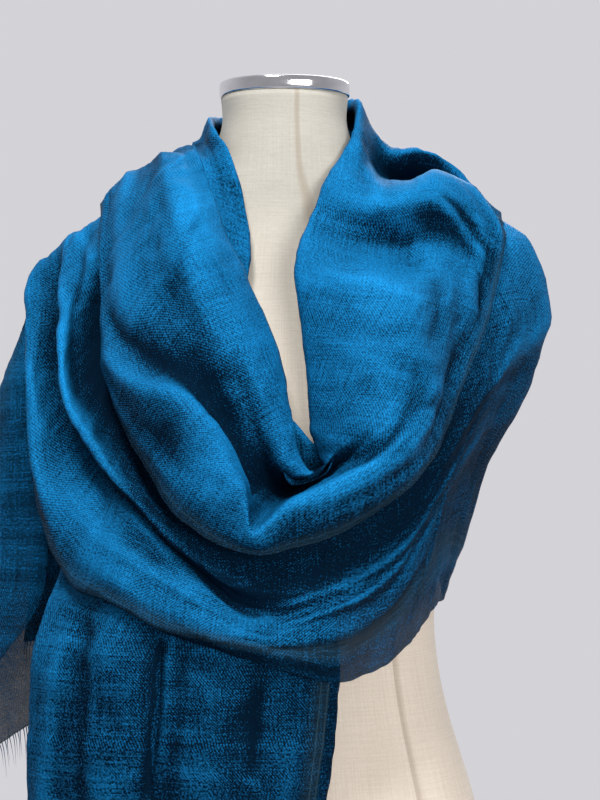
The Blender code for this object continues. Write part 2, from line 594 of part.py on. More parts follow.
def tail_rows():
    """Sections of the front end folded in three: the front panel, then one behind it, then one behind both."""
    front = np.array([row for row in TAIL.values()], float)
    back = Vector((0, 1, 0))
    rows = []
    for panel in front:
        middle = panel[::-1] + np.array(back) * TAIL_LAYER
        inner = panel + np.array(back) * 2 * TAIL_LAYER
        middle[0] += (TAIL_LAYER * 0.5, 0, 0)
        middle[-1] += (TAIL_PEEK * 0.3, 0, 0)
        inner[-1] += (TAIL_BACK_INSET, 0, 0)
        left_turn = panel[-1] + (-TAIL_LAYER * 0.4, TAIL_LAYER * 0.5, 0)
        right_turn = panel[0] + (TAIL_PEEK, TAIL_LAYER * 1.5, 0)
        rows.append(np.vstack([panel, left_turn, middle, right_turn, inner]))
    return np.array(rows)


def noise(index, seed):
    """A repeatable value from 0 to 1 for each strand."""
    return math.modf(abs(math.sin(index * 12.9898 + seed * 78.233)) * 43758.5453)[0]


def build_fringe(name, hem, down, strands, collection, finish):
    """A narrow strip below a hem, with a tapered strand drawn down from every other face of its lower rim."""
    lengths = np.concatenate([[0.0], np.cumsum(np.linalg.norm(np.diff(hem, axis=0), axis=1))])
    places = np.linspace(0, lengths[-1], 2 * strands)
    line = np.stack([np.interp(places, lengths, hem[:, axis]) for axis in range(3)], axis=1)
    away = np.stack([np.interp(places, lengths, down[:, axis]) for axis in range(3)], axis=1)
    strip = np.stack([line + away * SEAM_GAP, line + away * (SEAM_GAP + STRIP_HEIGHT)])
    bm = grid_mesh(strip)
    bmesh.ops.recalc_face_normals(bm, faces=bm.faces)
    low = {vertex for vertex in bm.verts if vertex.index >= len(places)}
    ordered = sorted(low, key=lambda vertex: vertex.index)
    roots = [Vector(vertex.co) for vertex in ordered]
    bmesh.ops.solidify(bm, geom=bm.faces[:], thickness=WALL * 0.6 * MM)
    bm.faces.ensure_lookup_table()
    tree = [(roots[i] + roots[i + 1]) / 2 for i in range(len(roots) - 1)]
    chosen = []
    for index in range(0, len(tree), 2):
        fall = Vector(away[index])
        faces = [
            face for face in bm.faces
            if face.normal.dot(fall) > 0.7 and (face.calc_center_median() - tree[index]).length < 1.6 * WALL * MM
        ]
        chosen.append(min(faces, key=lambda face: (face.calc_center_median() - tree[index]).length))
    drawn = bmesh.ops.extrude_discrete_faces(bm, faces=chosen)["faces"]
    for index, face in enumerate(drawn):
        centre = face.calc_center_median()
        fall = Vector(away[min(2 * index, len(away) - 1)])
        length = STRAND_LENGTH * (0.7 + 0.4 * noise(index, 1))
        sway = Vector((noise(index, 2) - 0.5, noise(index, 3) - 0.5, 0)) * 0.25
        tip = centre + (fall * 0.4 - UP * 0.6 + sway).normalized() * length * MM
        for vertex in face.verts:
            vertex.co = tip + (vertex.co - centre) * STRAND_TIP
    bmesh.ops.recalc_face_normals(bm, faces=bm.faces)
    object_from(name, bm, collection, finish)


def hem_of(points, last=True):
    """The edge of a stretch at its hem, and the way the cloth runs off it there."""
    edge, before = (points[-1], points[-2]) if last else (points[0], points[1])
    away = edge - before
    return edge, away / np.linalg.norm(away, axis=1, keepdims=True)


def main():
    for old in list(bpy.data.objects):
        bpy.data.objects.remove(old, do_unlink=True)
    collection = bpy.data.collections.new("shawl_on_dress_form")
    bpy.context.scene.collection.children.link(collection)
    blue = material("blue linen", (0.01, 0.13, 0.30), 0.75)
    beige = material("beige linen", (0.62, 0.54, 0.42), 0.85)
    chrome = material("polished chrome", (0.78, 0.78, 0.80), 0.08, 1.0)
    steel = material("brushed steel", (0.55, 0.55, 0.56), 0.3, 1.0)
    iron = material("painted base", (0.05, 0.05, 0.055), 0.5)

    form = build_form(collection, beige)
    build_cap(collection, chrome)
    build_stand(collection, steel, iron)

    outer_rows = turned_under(np.array(list(OUTER.values()), float), TURN_GAP, TURN_DEPTH)
    outer = Cloth(outer_rows, OUTER_CREASES, first_column=2)
    inner = Cloth(list(INNER.values()), INNER_CREASES)
    tail = Cloth(tail_rows(), TAIL_CREASES)
    outer_at = {name: number for number, name in enumerate(OUTER)}
    inner_at = {name: number for number, name in enumerate(INNER)}

    def run(cloth, number_of, sections, counts, across):
        return cloth.grid([number_of[name] for name in sections], counts, across)

    back_points = laid_over(run(inner, inner_at, ("gather", "side"), (20,), 12), [form])
    wrap_back = sheet_of(back_points)
    back_tree = tree_of(back_points)
    sections = ("chest_low", "shoulder_left", "back_right")
    collar = laid_over(run(outer, outer_at, sections, (15, 10), 9), [form, back_tree], folded=3)
    collar_tree = tree_of(collar, first_column=False)
    collar_left, collar_back = parted(sheet_of(collar), 15)
    tail = laid_over(tail.grid((0, len(TAIL) - 1), (10,), 24), [form, collar_tree], WALL + SEAM_GAP)
    tail_tree = tree_of(tail[:, :9])
    front_tail = sheet_of(tail)

    sections = ("side", "arm_top", "throw_hem")
    swag = drawn_to(run(inner, inner_at, sections, (40, 12), 16), wrap_back[-1])
    swag = laid_over(swag, [form, collar_tree, tail_tree])
    swag = laid_over(swag, [collar_tree, back_tree], first_row=36)
    swag_tree = tree_of(swag)
    lower_swag, throw_inner = parted(sheet_of(swag, wrap_back[-1]), 40)

    sections = ("back_right", "band_top", "throw_hem")
    cowl = drawn_to(run(outer, outer_at, sections, (44, 14), 16), collar_back[-1])
    cowl = laid_over(cowl, [form, back_tree, tail_tree, swag_tree], folded=4)
    cowl = laid_over(cowl, [collar_tree], first_row=14, folded=4)
    cowl, throw_outer = parted(sheet_of(cowl, collar_back[-1]), 44)

    for name, sheet in (
        ("wrap_back", wrap_back),
        ("collar_left", collar_left),
        ("collar_back", collar_back),
        ("front_tail", front_tail),
        ("lower_swag", lower_swag),
        ("cowl", cowl),
        ("throw_inner", throw_inner),
        ("throw_outer", throw_outer),
    ):
        cloth_wall(name, sheet, collection, blue)
    for name, sheet, last, strands in (
        ("fringe_tail", front_tail, False, TAIL_STRANDS),
        ("fringe_throw_inner", throw_inner, True, INNER_STRANDS),
        ("fringe_throw_outer", throw_outer, True, OUTER_STRANDS),
    ):
        hem, down = hem_of(sheet[..., :3], last)
        build_fringe(name, hem, down, strands, collection, blue)


main()
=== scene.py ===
"""Looks of the shawl wound on its dress form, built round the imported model.

The cloth follows the same sections as the solids, on a finer grid, as thin shells with their creases, weave,
selvages and fringes. Sizes and tables are in millimetres. The form faces -Y and the floor is at z = 0.
"""

import math

import bmesh
import bpy
import numpy as np
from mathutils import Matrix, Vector, noise
from mathutils.bvhtree import BVHTree


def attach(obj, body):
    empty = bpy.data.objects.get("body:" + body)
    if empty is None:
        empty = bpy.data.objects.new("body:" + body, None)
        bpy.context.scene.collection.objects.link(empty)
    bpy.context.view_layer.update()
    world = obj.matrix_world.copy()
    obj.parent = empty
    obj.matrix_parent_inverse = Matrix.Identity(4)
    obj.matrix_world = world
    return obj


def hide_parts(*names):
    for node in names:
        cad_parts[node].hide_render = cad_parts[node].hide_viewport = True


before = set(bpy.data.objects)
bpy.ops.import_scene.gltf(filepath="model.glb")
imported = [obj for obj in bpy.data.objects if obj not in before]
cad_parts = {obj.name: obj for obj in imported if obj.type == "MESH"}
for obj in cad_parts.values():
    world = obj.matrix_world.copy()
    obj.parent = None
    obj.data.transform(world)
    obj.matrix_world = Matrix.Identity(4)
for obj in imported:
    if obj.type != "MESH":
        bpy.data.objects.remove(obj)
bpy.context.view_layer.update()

MM = 0.001

# Sizes of the cloth: its shell, the spacing of its points, and how its stretches join and turn under
SHELL = 0.9
SPACING = 3.8
SEAM_FADE = 90.0
TURN_GAP = 6.0
TURN_DEPTH = 16.0
SKIRT = 14.0

# Laying: the pitch from layer to layer, coarse, fine and under the front end, and how far a point is moved
LAYER_PITCH = 5.0
CLOSE_PITCH = 1.9
TAIL_PITCH = 2.5
MOST_LIFT = 22.0
LAID_WITHIN = 0.05
SPREAD_ROUNDS = 8

# Coarse sheets: steps across, columns of the turned fold, and the rows from which each lies over the collar
ACROSS_STEPS = 16
TAIL_STEPS = 24
FOLD_COLUMNS = 4
SWAG_CROSSING = 36
COWL_CROSSING = 14

# Painted light and shade on the cloth: how much facing up adds, and the heights of folds and creases that add 1
# (crests painted lighter, hollows darker)
FACING_SHARE = 0.5
FOLD_HEIGHT = 24.0
CREASE_HEIGHT = 14.0
FOLD_ROUNDS = 40

# Where the outer flap turns sheer, from its selvage, and where the inner flap's painted shade starts to fade
# and has faded, from its top, at the right and at the left
SHEER_MARGIN = 40.0
PAINTED_SHADE_RIGHT = (85.0, 150.0)
PAINTED_SHADE_LEFT = (45.0, 85.0)

# Weave: the pitch of the twill lines, of its threads and of the cover's threads, and the cover's mean radius
TWILL_PITCH = 2.4
THREAD_PITCH = 1.2
COVER_PITCH = 1.15
COVER_RADIUS = 150.0

# Sizes of the form, its cap and its stand. Seams are at turns in degrees from +X
NECK_TOP = 1088.0
REST_GAP = 0.3
FORM_SIDES = 24
SMOOTH_SIDES = 120
SMOOTH_HEIGHTS = 150
FORM_ROUNDNESS = 2.25
BUST_HEIGHT = 812.0
BUST_REACH = 18.0
BUST_APART = 80.0
BUST_SIZE = 62.0
SEAM_TURNS = (-90, -52, -128, 0, 180, 90, 57, 123)
SEAM_DEPTH = 0.3
SEAM_WIDTH = 0.45
SEAM_CLEAR = 1.6
SHOULDER_HEIGHT = 985.0
RIM_HEIGHT = 2.2
RIM = ((0.94, 0.0), (0.985, 0.4))

# Profiles of the cap, as distance out from the neck and rise, and of the stand, as radius and height
CAP = (
    (-3.0, 0.0), (-0.5, 0.0), (0.6, 0.4), (1.6, 1.6), (1.6, 10.0), (1.2, 11.2), (0.2, 11.9),
    (-1.4, 12.0), (-9.0, 12.3), (-24.0, 12.7), (-40.0, 12.9),
)
POLE = (
    (13.0, 8.3), (30.0, 8.3), (30.0, 11.5), (29.0, 12.8), (18.5, 13.6), (15.2, 15.0), (14.0, 18.0),
    (14.0, 336.0), (17.5, 338.0), (19.0, 340.0), (19.0, 359.4),
)
BASE = (
    (120.0, 0.0), (148.4, 0.0), (149.5, 0.6), (150.0, 1.8), (150.0, 5.8), (149.4, 7.2), (147.8, 8.0),
    (100.0, 8.0), (34.0, 8.0),
)

# Camera, which is turned by degrees as seen from above, and lamps: name, place, size and power, in metres
LENS = 87.98
CAMERA_PLACE = (-0.1051, -1.6968, 0.826)
CAMERA_TURN = -4
LAMP_AIM = (0, 0, 0.82)
LAMPS = (
    ("key", (-0.45, -1.25, 2.6), 0.5, 56),
    ("front", (1.0, -2.8, 0.8), 1.4, 84),
    ("back", (0.6, 1.9, 2.2), 1.2, 22),
)
FLOOR_RADIUS = 1.2

# Rings of the form: height, half width, depth of the front and depth of the back
FORM_RINGS = (
    (360, 160, 105, 115),
    (400, 168, 109, 121),
    (440, 172, 112, 125),
    (480, 165, 108, 120),
    (520, 153, 102, 108),
    (560, 141, 96, 96),
    (600, 133, 90, 86),
    (640, 130, 87, 80),
    (690, 136, 98, 86),
    (740, 146, 114, 94),
    (790, 153, 124, 98),
    (850, 162, 108, 102),
    (910, 168, 84, 98),
    (950, 167, 68, 88),
    (972, 157, 60, 79),
    (992, 126, 57, 71),
    (1010, 90, 56, 66),
    (1028, 66, 55, 62),
    (1047, 59, 54, 58),
    (1066, 54, 53, 56),
    (1088, 55, 54, 57),
)

# Sections of the outer flap, from the left chest round the back of the neck to the front and down the back.
# Columns, from the fold at the neck to the free selvage: neck, crest, dip, rise, roll, under, selvage
OUTER = {
    "chest_low": ((46, -141, 757), (6, -138, 755), (-30, -141, 752), (-62, -133, 752), (-84, -121, 752),
        (-98, -111, 752), (-110, -100, 752)),
    "chest_mid": ((-24, -131, 840), (-42, -132, 842), (-60, -131, 844), (-77, -126, 846), (-92, -117, 848),
        (-104, -106, 850), (-113, -96, 850)),
    "chest_high": ((-36, -95, 920), (-50, -99, 926), (-64, -98, 931), (-78, -95, 935), (-91, -90, 938),
        (-102, -82, 940), (-111, -74, 940)),
    "collarbone": ((-36, -66, 975), (-49, -70, 984), (-63, -69, 989), (-78, -66, 989), (-92, -61, 987),
        (-104, -54, 985), (-113, -46, 982)),
    "neck_left": ((-48, -50, 1034), (-61, -48, 1029), (-73, -44, 1024), (-86, -38, 1018), (-98, -31, 1013),
        (-109, -23, 1008), (-118, -15, 1003)),
    "shoulder_left": ((-61, 0, 1067), (-69, 6, 1052), (-79, 10, 1040), (-89, 12, 1032), (-99, 14, 1028),
        (-108, 16, 1025), (-116, 19, 1021)),
    "back_left": ((-48, 59, 1078), (-62, 69, 1060), (-77, 79, 1040), (-91, 88, 1020), (-105, 95, 998),
        (-118, 100, 974), (-129, 103, 950)),
    "back_middle": ((0, 76, 1087), (0, 88, 1068), (-1, 99, 1041), (-2, 108, 1010), (-2, 116, 975),
        (-2, 118, 940), (-2, 115, 904)),
    "back_right": ((46, 58, 1088), (62, 72, 1070), (79, 84, 1048), (96, 92, 1023), (114, 98, 992),
        (131, 100, 958), (146, 96, 925)),
    "shoulder_back": ((56, 34, 1087), (70, 42, 1070), (90, 46, 1050), (112, 48, 1038), (138, 56, 1015),
        (163, 58, 990), (184, 52, 962)),
    "rim": ((60, 6, 1082), (72, 6, 1066), (92, -4, 1038), (114, -8, 1037), (140, -6, 1033), (165, -4, 1012),
        (187, -4, 985)),
    "pocket_floor": ((52, -16, 1059), (66, -22, 1044), (90, 10, 1013), (112, 20, 1000), (134, 6, 1006),
        (163, -14, 1002), (187, -22, 979)),
    "pocket_rim": ((40, -38, 1030), (57, -56, 1018), (82, -66, 1007), (107, -66, 1010), (131, -52, 1018),
        (161, -42, 1002), (185, -39, 973)),
    "ridge_high": ((24, -64, 1000), (51, -90, 988), (83, -102, 984), (116, -89, 992), (148, -71, 989),
        (174, -59, 973), (185, -54, 961)),
    "hollow": ((14, -86, 972), (44, -92, 957), (83, -88, 953), (120, -75, 960), (148, -67, 951),
        (168, -66, 938), (175, -66, 924)),
    "ridge_low": ((2, -112, 934), (35, -137, 921), (76, -147, 915), (114, -125, 918), (142, -104, 913),
        (158, -91, 900), (162, -88, 888)),
    "chest_right": ((7, -134, 874), (35, -163, 872), (71, -174, 868), (99, -163, 864), (124, -140, 858),
        (135, -124, 850), (139, -120, 842)),
    "low_right": ((11, -147, 834), (37, -176, 834), (69, -187, 831), (91, -182, 826), (109, -168, 818),
        (115, -154, 802), (115, -148, 789)),
    "lap_right": ((12, -152, 802), (36, -184, 801), (54, -197, 797), (66, -202, 792), (76, -200, 785),
        (82, -186, 767), (80, -177, 752)),
    "roll_right": ((17, -158, 784), (26, -178, 782), (28, -160, 771), (30, -186, 768), (30, -209, 762),
        (29, -202, 738), (28, -193, 721)),
    "roll_inner": ((22, -163, 772), (15, -175, 770), (6, -140, 757), (0, -178, 752), (-6, -209, 748),
        (-5, -205, 726), (-4, -197, 712)),
    "notch": ((8, -166, 768), (0, -172, 767), (-13, -139, 750), (-28, -180, 737), (-38, -212, 726),
        (-36, -207, 715), (-33, -198, 707)),
    "lap_left": ((2, -163, 777), (-8, -174, 773), (-22, -146, 759), (-34, -182, 749), (-43, -209, 744),
        (-53, -199, 725), (-57, -192, 713)),
    "low_left": ((-5, -158, 806), (-17, -176, 801), (-32, -168, 790), (-46, -180, 783), (-62, -206, 778),
        (-78, -201, 750), (-89, -190, 731)),
    "chest_left": ((-16, -142, 864), (-30, -168, 857), (-50, -174, 849), (-69, -172, 835), (-91, -192, 817),
        (-109, -180, 785), (-118, -166, 769)),
    "band_low": ((-37, -117, 920), (-52, -148, 913), (-74, -162, 904), (-98, -153, 880), (-121, -158, 844),
        (-133, -146, 820), (-138, -132, 806)),
    "band_mid": ((-58, -98, 968), (-74, -124, 962), (-94, -137, 952), (-119, -124, 931), (-145, -112, 886),
        (-154, -100, 868), (-153, -88, 853)),
    "band_high": ((-67, -66, 1006), (-82, -84, 1002), (-103, -92, 994), (-127, -84, 978), (-149, -66, 942),
        (-157, -62, 927), (-154, -58, 914)),
    "band_top": ((-76, -22, 1038), (-89, -22, 1037), (-105, -18, 1033), (-124, -12, 1026), (-142, -6, 1014),
        (-152, -1, 1004), (-157, 2, 994)),
    "over_shoulder": ((-84, 26, 1040), (-97, 28, 1038), (-111, 30, 1033), (-126, 32, 1026), (-141, 34, 1016),
        (-152, 36, 1004), (-158, 40, 991)),
    "throw_neck": ((-82, 92, 1038), (-96, 102, 1027), (-112, 110, 1009), (-130, 113, 990), (-149, 110, 969),
        (-165, 106, 950), (-173, 104, 934)),
    "throw_high": ((-54, 130, 966), (-74, 139, 957), (-98, 141, 946), (-122, 140, 934), (-146, 134, 920),
        (-167, 122, 904), (-181, 112, 890)),
    "throw_mid": ((-40, 144, 858), (-64, 151, 850), (-92, 152, 842), (-120, 150, 834), (-149, 142, 824),
        (-178, 129, 814), (-201, 112, 804)),
    "throw_low": ((-30, 142, 742), (-58, 152, 737), (-90, 143, 732), (-122, 146, 728), (-156, 134, 722),
        (-188, 126, 716), (-218, 104, 712)),
    "throw_hem": ((-22, 142, 626), (-54, 156, 620), (-88, 142, 616), (-124, 150, 612), (-162, 134, 610),
        (-199, 132, 606), (-233, 110, 604)),
}

# Sections of the inner flap, from the left shoulder across the back to the right side and the front.
# Columns, from its hidden top to the low selvage and the edge turned under there:
# top, lap, brow, ridge, trough, strip, selvage, turned
INNER = {
    "gather": ((-64, 34, 1044), (-75, 36, 1034), (-87, 38, 1026), (-98, 40, 1020), (-109, 42, 1014),
        (-120, 44, 1008), (-130, 46, 1001), (-139, 48, 992)),
    "back_left": ((-44, 62, 1066), (-60, 72, 1042), (-76, 82, 1017), (-91, 90, 990), (-104, 96, 962),
        (-116, 100, 932), (-126, 102, 900), (-132, 98, 868)),
    "back_middle": ((-4, 70, 1076), (-8, 84, 1038), (-12, 99, 998), (-18, 108, 956), (-26, 118, 912),
        (-34, 118, 868), (-44, 120, 824), (-54, 110, 784)),
    "back_right": ((42, 62, 1078), (54, 80, 1036), (62, 95, 992), (66, 108, 944), (66, 118, 894),
        (62, 118, 843), (54, 118, 792), (44, 104, 742)),
    "blade_right": ((84, 46, 1052), (114, 66, 1014), (136, 82, 966), (148, 95, 912), (150, 102, 858),
        (142, 103, 804), (126, 100, 750), (106, 88, 702)),
    "side_back": ((118, 28, 1014), (152, 34, 986), (184, 44, 944), (196, 50, 896), (188, 53, 842),
        (168, 52, 784), (143, 46, 726), (129, 36, 678)),
    "side": ((156, -5, 986), (204, -9, 973), (229, -10, 926), (225, -10, 874), (204, -10, 826), (176, -14, 761),
        (149, -24, 697), (130, -44, 657)),
    "side_front": ((148, -50, 962), (180, -50, 941), (201, -48, 903), (197, -49, 862), (179, -51, 822),
        (157, -54, 767), (137, -63, 704), (122, -73, 656)),
    "hip_right": ((126, -90, 905), (156, -90, 874), (167, -91, 849), (160, -92, 822), (148, -94, 793),
        (134, -97, 752), (118, -103, 694), (104, -111, 640)),
    "lap_right": ((104, -130, 838), (124, -128, 814), (129, -128, 792), (124, -130, 769), (117, -132, 745),
        (108, -135, 717), (97, -140, 673), (83, -142, 622)),
    "front_right": ((68, -152, 778), (88, -150, 759), (91, -152, 743), (86, -159, 723), (81, -165, 704),
        (76, -166, 680), (69, -163, 648), (60, -157, 611)),
    "front_middle": ((30, -166, 738), (38, -167, 724), (40, -172, 710), (38, -178, 694), (36, -182, 677),
        (33, -184, 659), (30, -183, 631), (26, -172, 605)),
    "front_fold": ((-17, -170, 724), (-10, -173, 710), (-9, -178, 697), (-10, -184, 679), (-14, -184, 662),
        (-15, -191, 646), (-14, -195, 632), (-12, -184, 616)),
    "front_left": ((-57, -168, 726), (-54, -171, 712), (-52, -176, 698), (-49, -184, 681), (-45, -174, 665),
        (-48, -190, 653), (-50, -196, 639), (-45, -182, 627)),
    "lap_left": ((-91, -150, 774), (-87, -158, 733), (-90, -166, 720), (-89, -176, 708), (-82, -162, 698),
        (-91, -175, 674), (-94, -179, 647), (-87, -164, 638)),
    "hip_left": ((-117, -114, 816), (-115, -122, 769), (-122, -136, 757), (-124, -148, 743), (-113, -130, 730),
        (-131, -147, 696), (-139, -150, 666), (-131, -133, 657)),
    "swing_low": ((-128, -74, 862), (-138, -78, 828), (-149, -94, 803), (-157, -121, 784), (-145, -90, 762),
        (-168, -116, 721), (-182, -112, 686), (-174, -92, 676)),
    "swing_mid": ((-135, -60, 893), (-150, -52, 868), (-171, -68, 841), (-182, -98, 822), (-174, -50, 806),
        (-203, -72, 768), (-209, -66, 742), (-202, -48, 732)),
    "swing_high": ((-136, -50, 920), (-154, -36, 901), (-175, -48, 887), (-190, -67, 872), (-188, -24, 857),
        (-214, -35, 847), (-217, -26, 828), (-209, -12, 812)),
    "arm_left": ((-134, -44, 968), (-152, -40, 955), (-172, -28, 942), (-190, -24, 925), (-193, -6, 912),
        (-220, 0, 906), (-223, 10, 890), (-215, 18, 874)),
    "arm_top": ((-136, 17, 1009), (-150, 18, 997), (-163, 20, 983), (-182, 20, 972), (-199, 26, 957),
        (-217, 28, 942), (-223, 32, 922), (-216, 36, 898)),
    "throw_neck": ((-122, 122, 966), (-141, 115, 957), (-156, 98, 943), (-176, 80, 936), (-197, 64, 928),
        (-216, 52, 915), (-226, 46, 902), (-218, 49, 888)),
    "throw_high": ((-98, 126, 868), (-126, 122, 866), (-154, 111, 862), (-181, 100, 858), (-208, 84, 854),
        (-235, 58, 850), (-244, 36, 848), (-206, 12, 850)),
    "throw_mid": ((-92, 130, 758), (-124, 132, 757), (-156, 121, 756), (-188, 115, 755), (-220, 95, 754),
        (-252, 66, 752), (-262, 42, 752), (-208, 6, 757)),
    "throw_low": ((-90, 130, 650), (-126, 134, 650), (-162, 123, 650), (-197, 120, 650), (-232, 100, 650),
        (-268, 72, 650), (-284, 48, 650), (-211, 5, 652)),
    "throw_tip": ((-92, 129, 590), (-128, 133, 586), (-164, 122, 582), (-198, 118, 576), (-232, 99, 570),
        (-272, 72, 562), (-292, 48, 556), (-262, 24, 574)),
    "throw_hem": ((-95, 128, 562), (-130, 132, 556), (-165, 123, 549), (-198, 116, 541), (-229, 100, 529),
        (-264, 74, 508), (-291, 52, 491), (-303, 40, 488)),
}

# Sections of the front end from its hem up, and how far the two panels behind its front panel stand back.
# Columns of the front panel: right edge, right, crease, left, left edge
TAIL = {
    "hem": ((8, -150, 292), (-46, -166, 292), (-112, -162, 292), (-170, -142, 292), (-216, -104, 292)),
    "low": ((10, -150, 400), (-45, -167, 400), (-112, -160, 400), (-168, -142, 400), (-215, -104, 400)),
    "mid": ((16, -151, 509), (-44, -168, 509), (-113, -158, 509), (-166, -142, 509), (-213, -105, 509)),
    "high": ((24, -158, 574), (-42, -171, 574), (-113, -159, 574), (-164, -142, 574), (-210, -106, 574)),
    "under_fold": ((26, -160, 618), (-38, -172, 618), (-112, -160, 618), (-160, -142, 618), (-208, -106, 618)),
    "hip": ((14, -158, 664), (-40, -168, 664), (-104, -156, 664), (-150, -132, 664), (-190, -86, 676)),
    "top": ((-28, -156, 750), (-52, -158, 768), (-80, -152, 772), (-106, -136, 772), (-128, -110, 772)),
}
TAIL_LAYER = 8.0
TAIL_PEEK = 8.0
TAIL_BACK_INSET = 24.0

# Creases: name, then start, middle and end as (section number, column number), rise and width
OUTER_CREASES = (
    ("left roll", (26.0, 5.0), (24.0, 4.1), (21.6, 3.6), 4.0, 11.0),
    ("left roll groove", (26.3, 4.2), (24.2, 3.2), (21.8, 2.6), -6.0, 10.0),
    ("band ridge", (25.4, 1.2), (27.0, 1.8), (30.5, 2.4), 4.0, 16.0),
    ("band hollow", (25.0, 2.6), (26.4, 2.9), (28.6, 3.2), -4.0, 15.0),
    ("chest pull", (13.6, 1.0), (15.2, 2.0), (17.0, 3.6), 4.0, 18.0),
    ("chest hollow", (14.4, 3.4), (15.6, 4.2), (17.0, 5.0), -4.0, 15.0),
    ("nape ridge", (6.0, 2.4), (7.0, 3.4), (8.6, 2.4), 6.0, 17.0),
    ("nape hollow", (5.9, 1.2), (7.0, 1.9), (8.7, 1.2), -5.0, 13.0),
    ("nape low ridge", (6.1, 4.4), (7.0, 5.1), (8.4, 4.3), 5.0, 15.0),
    ("throw ridge", (30.6, 1.4), (32.5, 1.2), (35.0, 0.9), 6.0, 16.0),
    ("throw hollow", (30.8, 2.6), (32.5, 2.4), (35.0, 2.2), -6.0, 15.0),
    ("throw outer ridge", (30.6, 3.9), (32.5, 3.9), (35.0, 4.1), 6.0, 16.0),
)
INNER_CREASES = (
    ("blade ridge", (1.2, 3.2), (3.0, 4.6), (5.2, 3.2), 6.0, 20.0),
    ("blade hollow", (1.4, 2.0), (3.0, 3.4), (5.0, 2.2), -5.0, 16.0),
    ("low ridge", (1.4, 5.2), (3.2, 6.2), (5.4, 5.2), 6.0, 18.0),
    ("side ridge", (5.2, 3.6), (6.6, 4.0), (8.2, 4.3), 3.0, 16.0),
    ("side hollow", (5.0, 4.8), (6.6, 5.0), (8.6, 5.2), -3.0, 14.0),
    ("lap crease", (9.0, 4.6), (10.6, 5.2), (12.2, 4.4), -2.5, 12.0),
    ("strip ridge", (14.0, 5.2), (16.0, 5.3), (18.2, 5.4), 2.5, 11.0),
    ("throw ridge", (22.4, 2.2), (24.5, 2.0), (26.6, 1.8), 5.0, 16.0),
    ("throw hollow", (22.4, 3.4), (24.5, 3.2), (26.6, 3.0), -5.0, 15.0),
)
TAIL_CREASES = (
    ("right crease", (-0.4, 0.9), (2.0, 1.1), (5.4, 0.8), -3.5, 10.0),
    ("middle ridge", (-0.6, 1.5), (2.0, 1.5), (5.4, 1.4), 2.5, 18.0),
    ("dark crease", (-0.5, 2.3), (2.2, 2.0), (5.0, 2.1), -6.0, 8.0),
    ("left ridge", (-0.6, 2.8), (2.0, 2.7), (5.4, 2.8), 2.5, 18.0),
    ("left crease", (-0.4, 3.4), (2.0, 3.4), (5.0, 3.3), -3.0, 10.0),
)

# Finer creases, which only the shells have, in the same columns as the tables above
OUTER_FINE = (
    ("band left pleat", (25.6, 3.6), (27.2, 3.7), (29.4, 3.5), 2.6, 9.0),
    ("band mid pleat", (25.8, 2.0), (27.4, 2.3), (29.2, 2.6), -2.2, 8.0),
    ("band inner pleat", (25.4, 0.7), (26.8, 1.1), (28.6, 1.3), 2.0, 8.0),
    ("left roll crest", (25.8, 4.7), (24.0, 3.7), (21.6, 3.1), 3.6, 6.0),
    ("left roll line", (26.4, 4.3), (24.2, 3.25), (21.4, 2.5), -4.0, 4.5),
    ("shoulder crease", (12.9, 3.3), (13.4, 4.0), (13.8, 4.9), -2.6, 4.5),
    ("shoulder crease crest", (13.1, 3.1), (13.6, 3.8), (14.0, 4.7), 2.4, 5.0),
    ("shoulder crumple line", (14.2, 4.2), (14.5, 4.8), (15.0, 5.4), -2.4, 4.5),
    ("chest line", (14.9, 0.6), (15.0, 1.6), (15.3, 2.8), 2.2, 5.5),
    ("chest line low", (15.8, 4.6), (16.6, 4.4), (17.6, 4.6), -2.2, 5.0),
    ("lap line", (17.4, 5.2), (18.4, 5.0), (19.6, 4.9), 1.8, 5.0),
    ("band cross line", (26.2, 0.8), (25.9, 1.8), (25.3, 2.9), -1.8, 5.0),
    ("band high line", (27.8, 0.6), (27.5, 1.5), (27.4, 2.6), 1.8, 5.0),
    ("band low pull", (23.2, 5.2), (24.6, 5.4), (26.2, 5.7), 2.0, 8.0),
    ("notch pull right", (17.0, 4.1), (18.4, 4.3), (20.2, 4.3), 2.2, 9.0),
    ("lap pull right", (16.2, 2.9), (17.6, 3.1), (19.2, 2.9), -2.4, 9.0),
    ("chest wrinkle", (13.2, 2.0), (14.0, 2.6), (14.9, 3.0), 2.4, 7.0),
    ("chest wrinkle low", (14.0, 2.2), (14.8, 3.0), (15.8, 3.4), -2.2, 7.0),
    ("shoulder crumple", (13.1, 4.3), (13.8, 4.6), (14.5, 4.4), 3.0, 7.0),
    ("shoulder crumple low", (13.6, 5.1), (14.3, 4.9), (15.2, 5.2), -2.8, 7.0),
    ("shoulder fold", (11.6, 4.6), (12.6, 5.2), (13.6, 5.6), 2.6, 8.0),
    ("neck pull", (11.4, 1.2), (12.4, 1.6), (13.4, 1.4), 1.8, 7.0),
    ("collar pleat", (1.4, 2.0), (3.0, 2.2), (4.6, 2.0), 2.6, 8.0),
    ("collar hollow", (1.6, 3.4), (3.0, 3.6), (4.8, 3.4), -2.4, 8.0),
    ("nape pleat", (6.2, 1.8), (7.2, 2.5), (8.4, 1.8), 2.6, 8.0),
    ("nape low pleat", (6.4, 3.6), (7.4, 4.4), (8.8, 3.4), -2.6, 9.0),
    ("throw top pleat", (29.8, 1.0), (31.0, 0.8), (33.4, 0.6), -3.0, 9.0),
    ("throw mid pleat", (29.6, 3.2), (31.4, 3.2), (34.0, 3.1), 3.2, 9.0),
    ("throw low pleat", (30.6, 4.8), (32.2, 4.6), (34.6, 4.7), -3.0, 9.0),
)
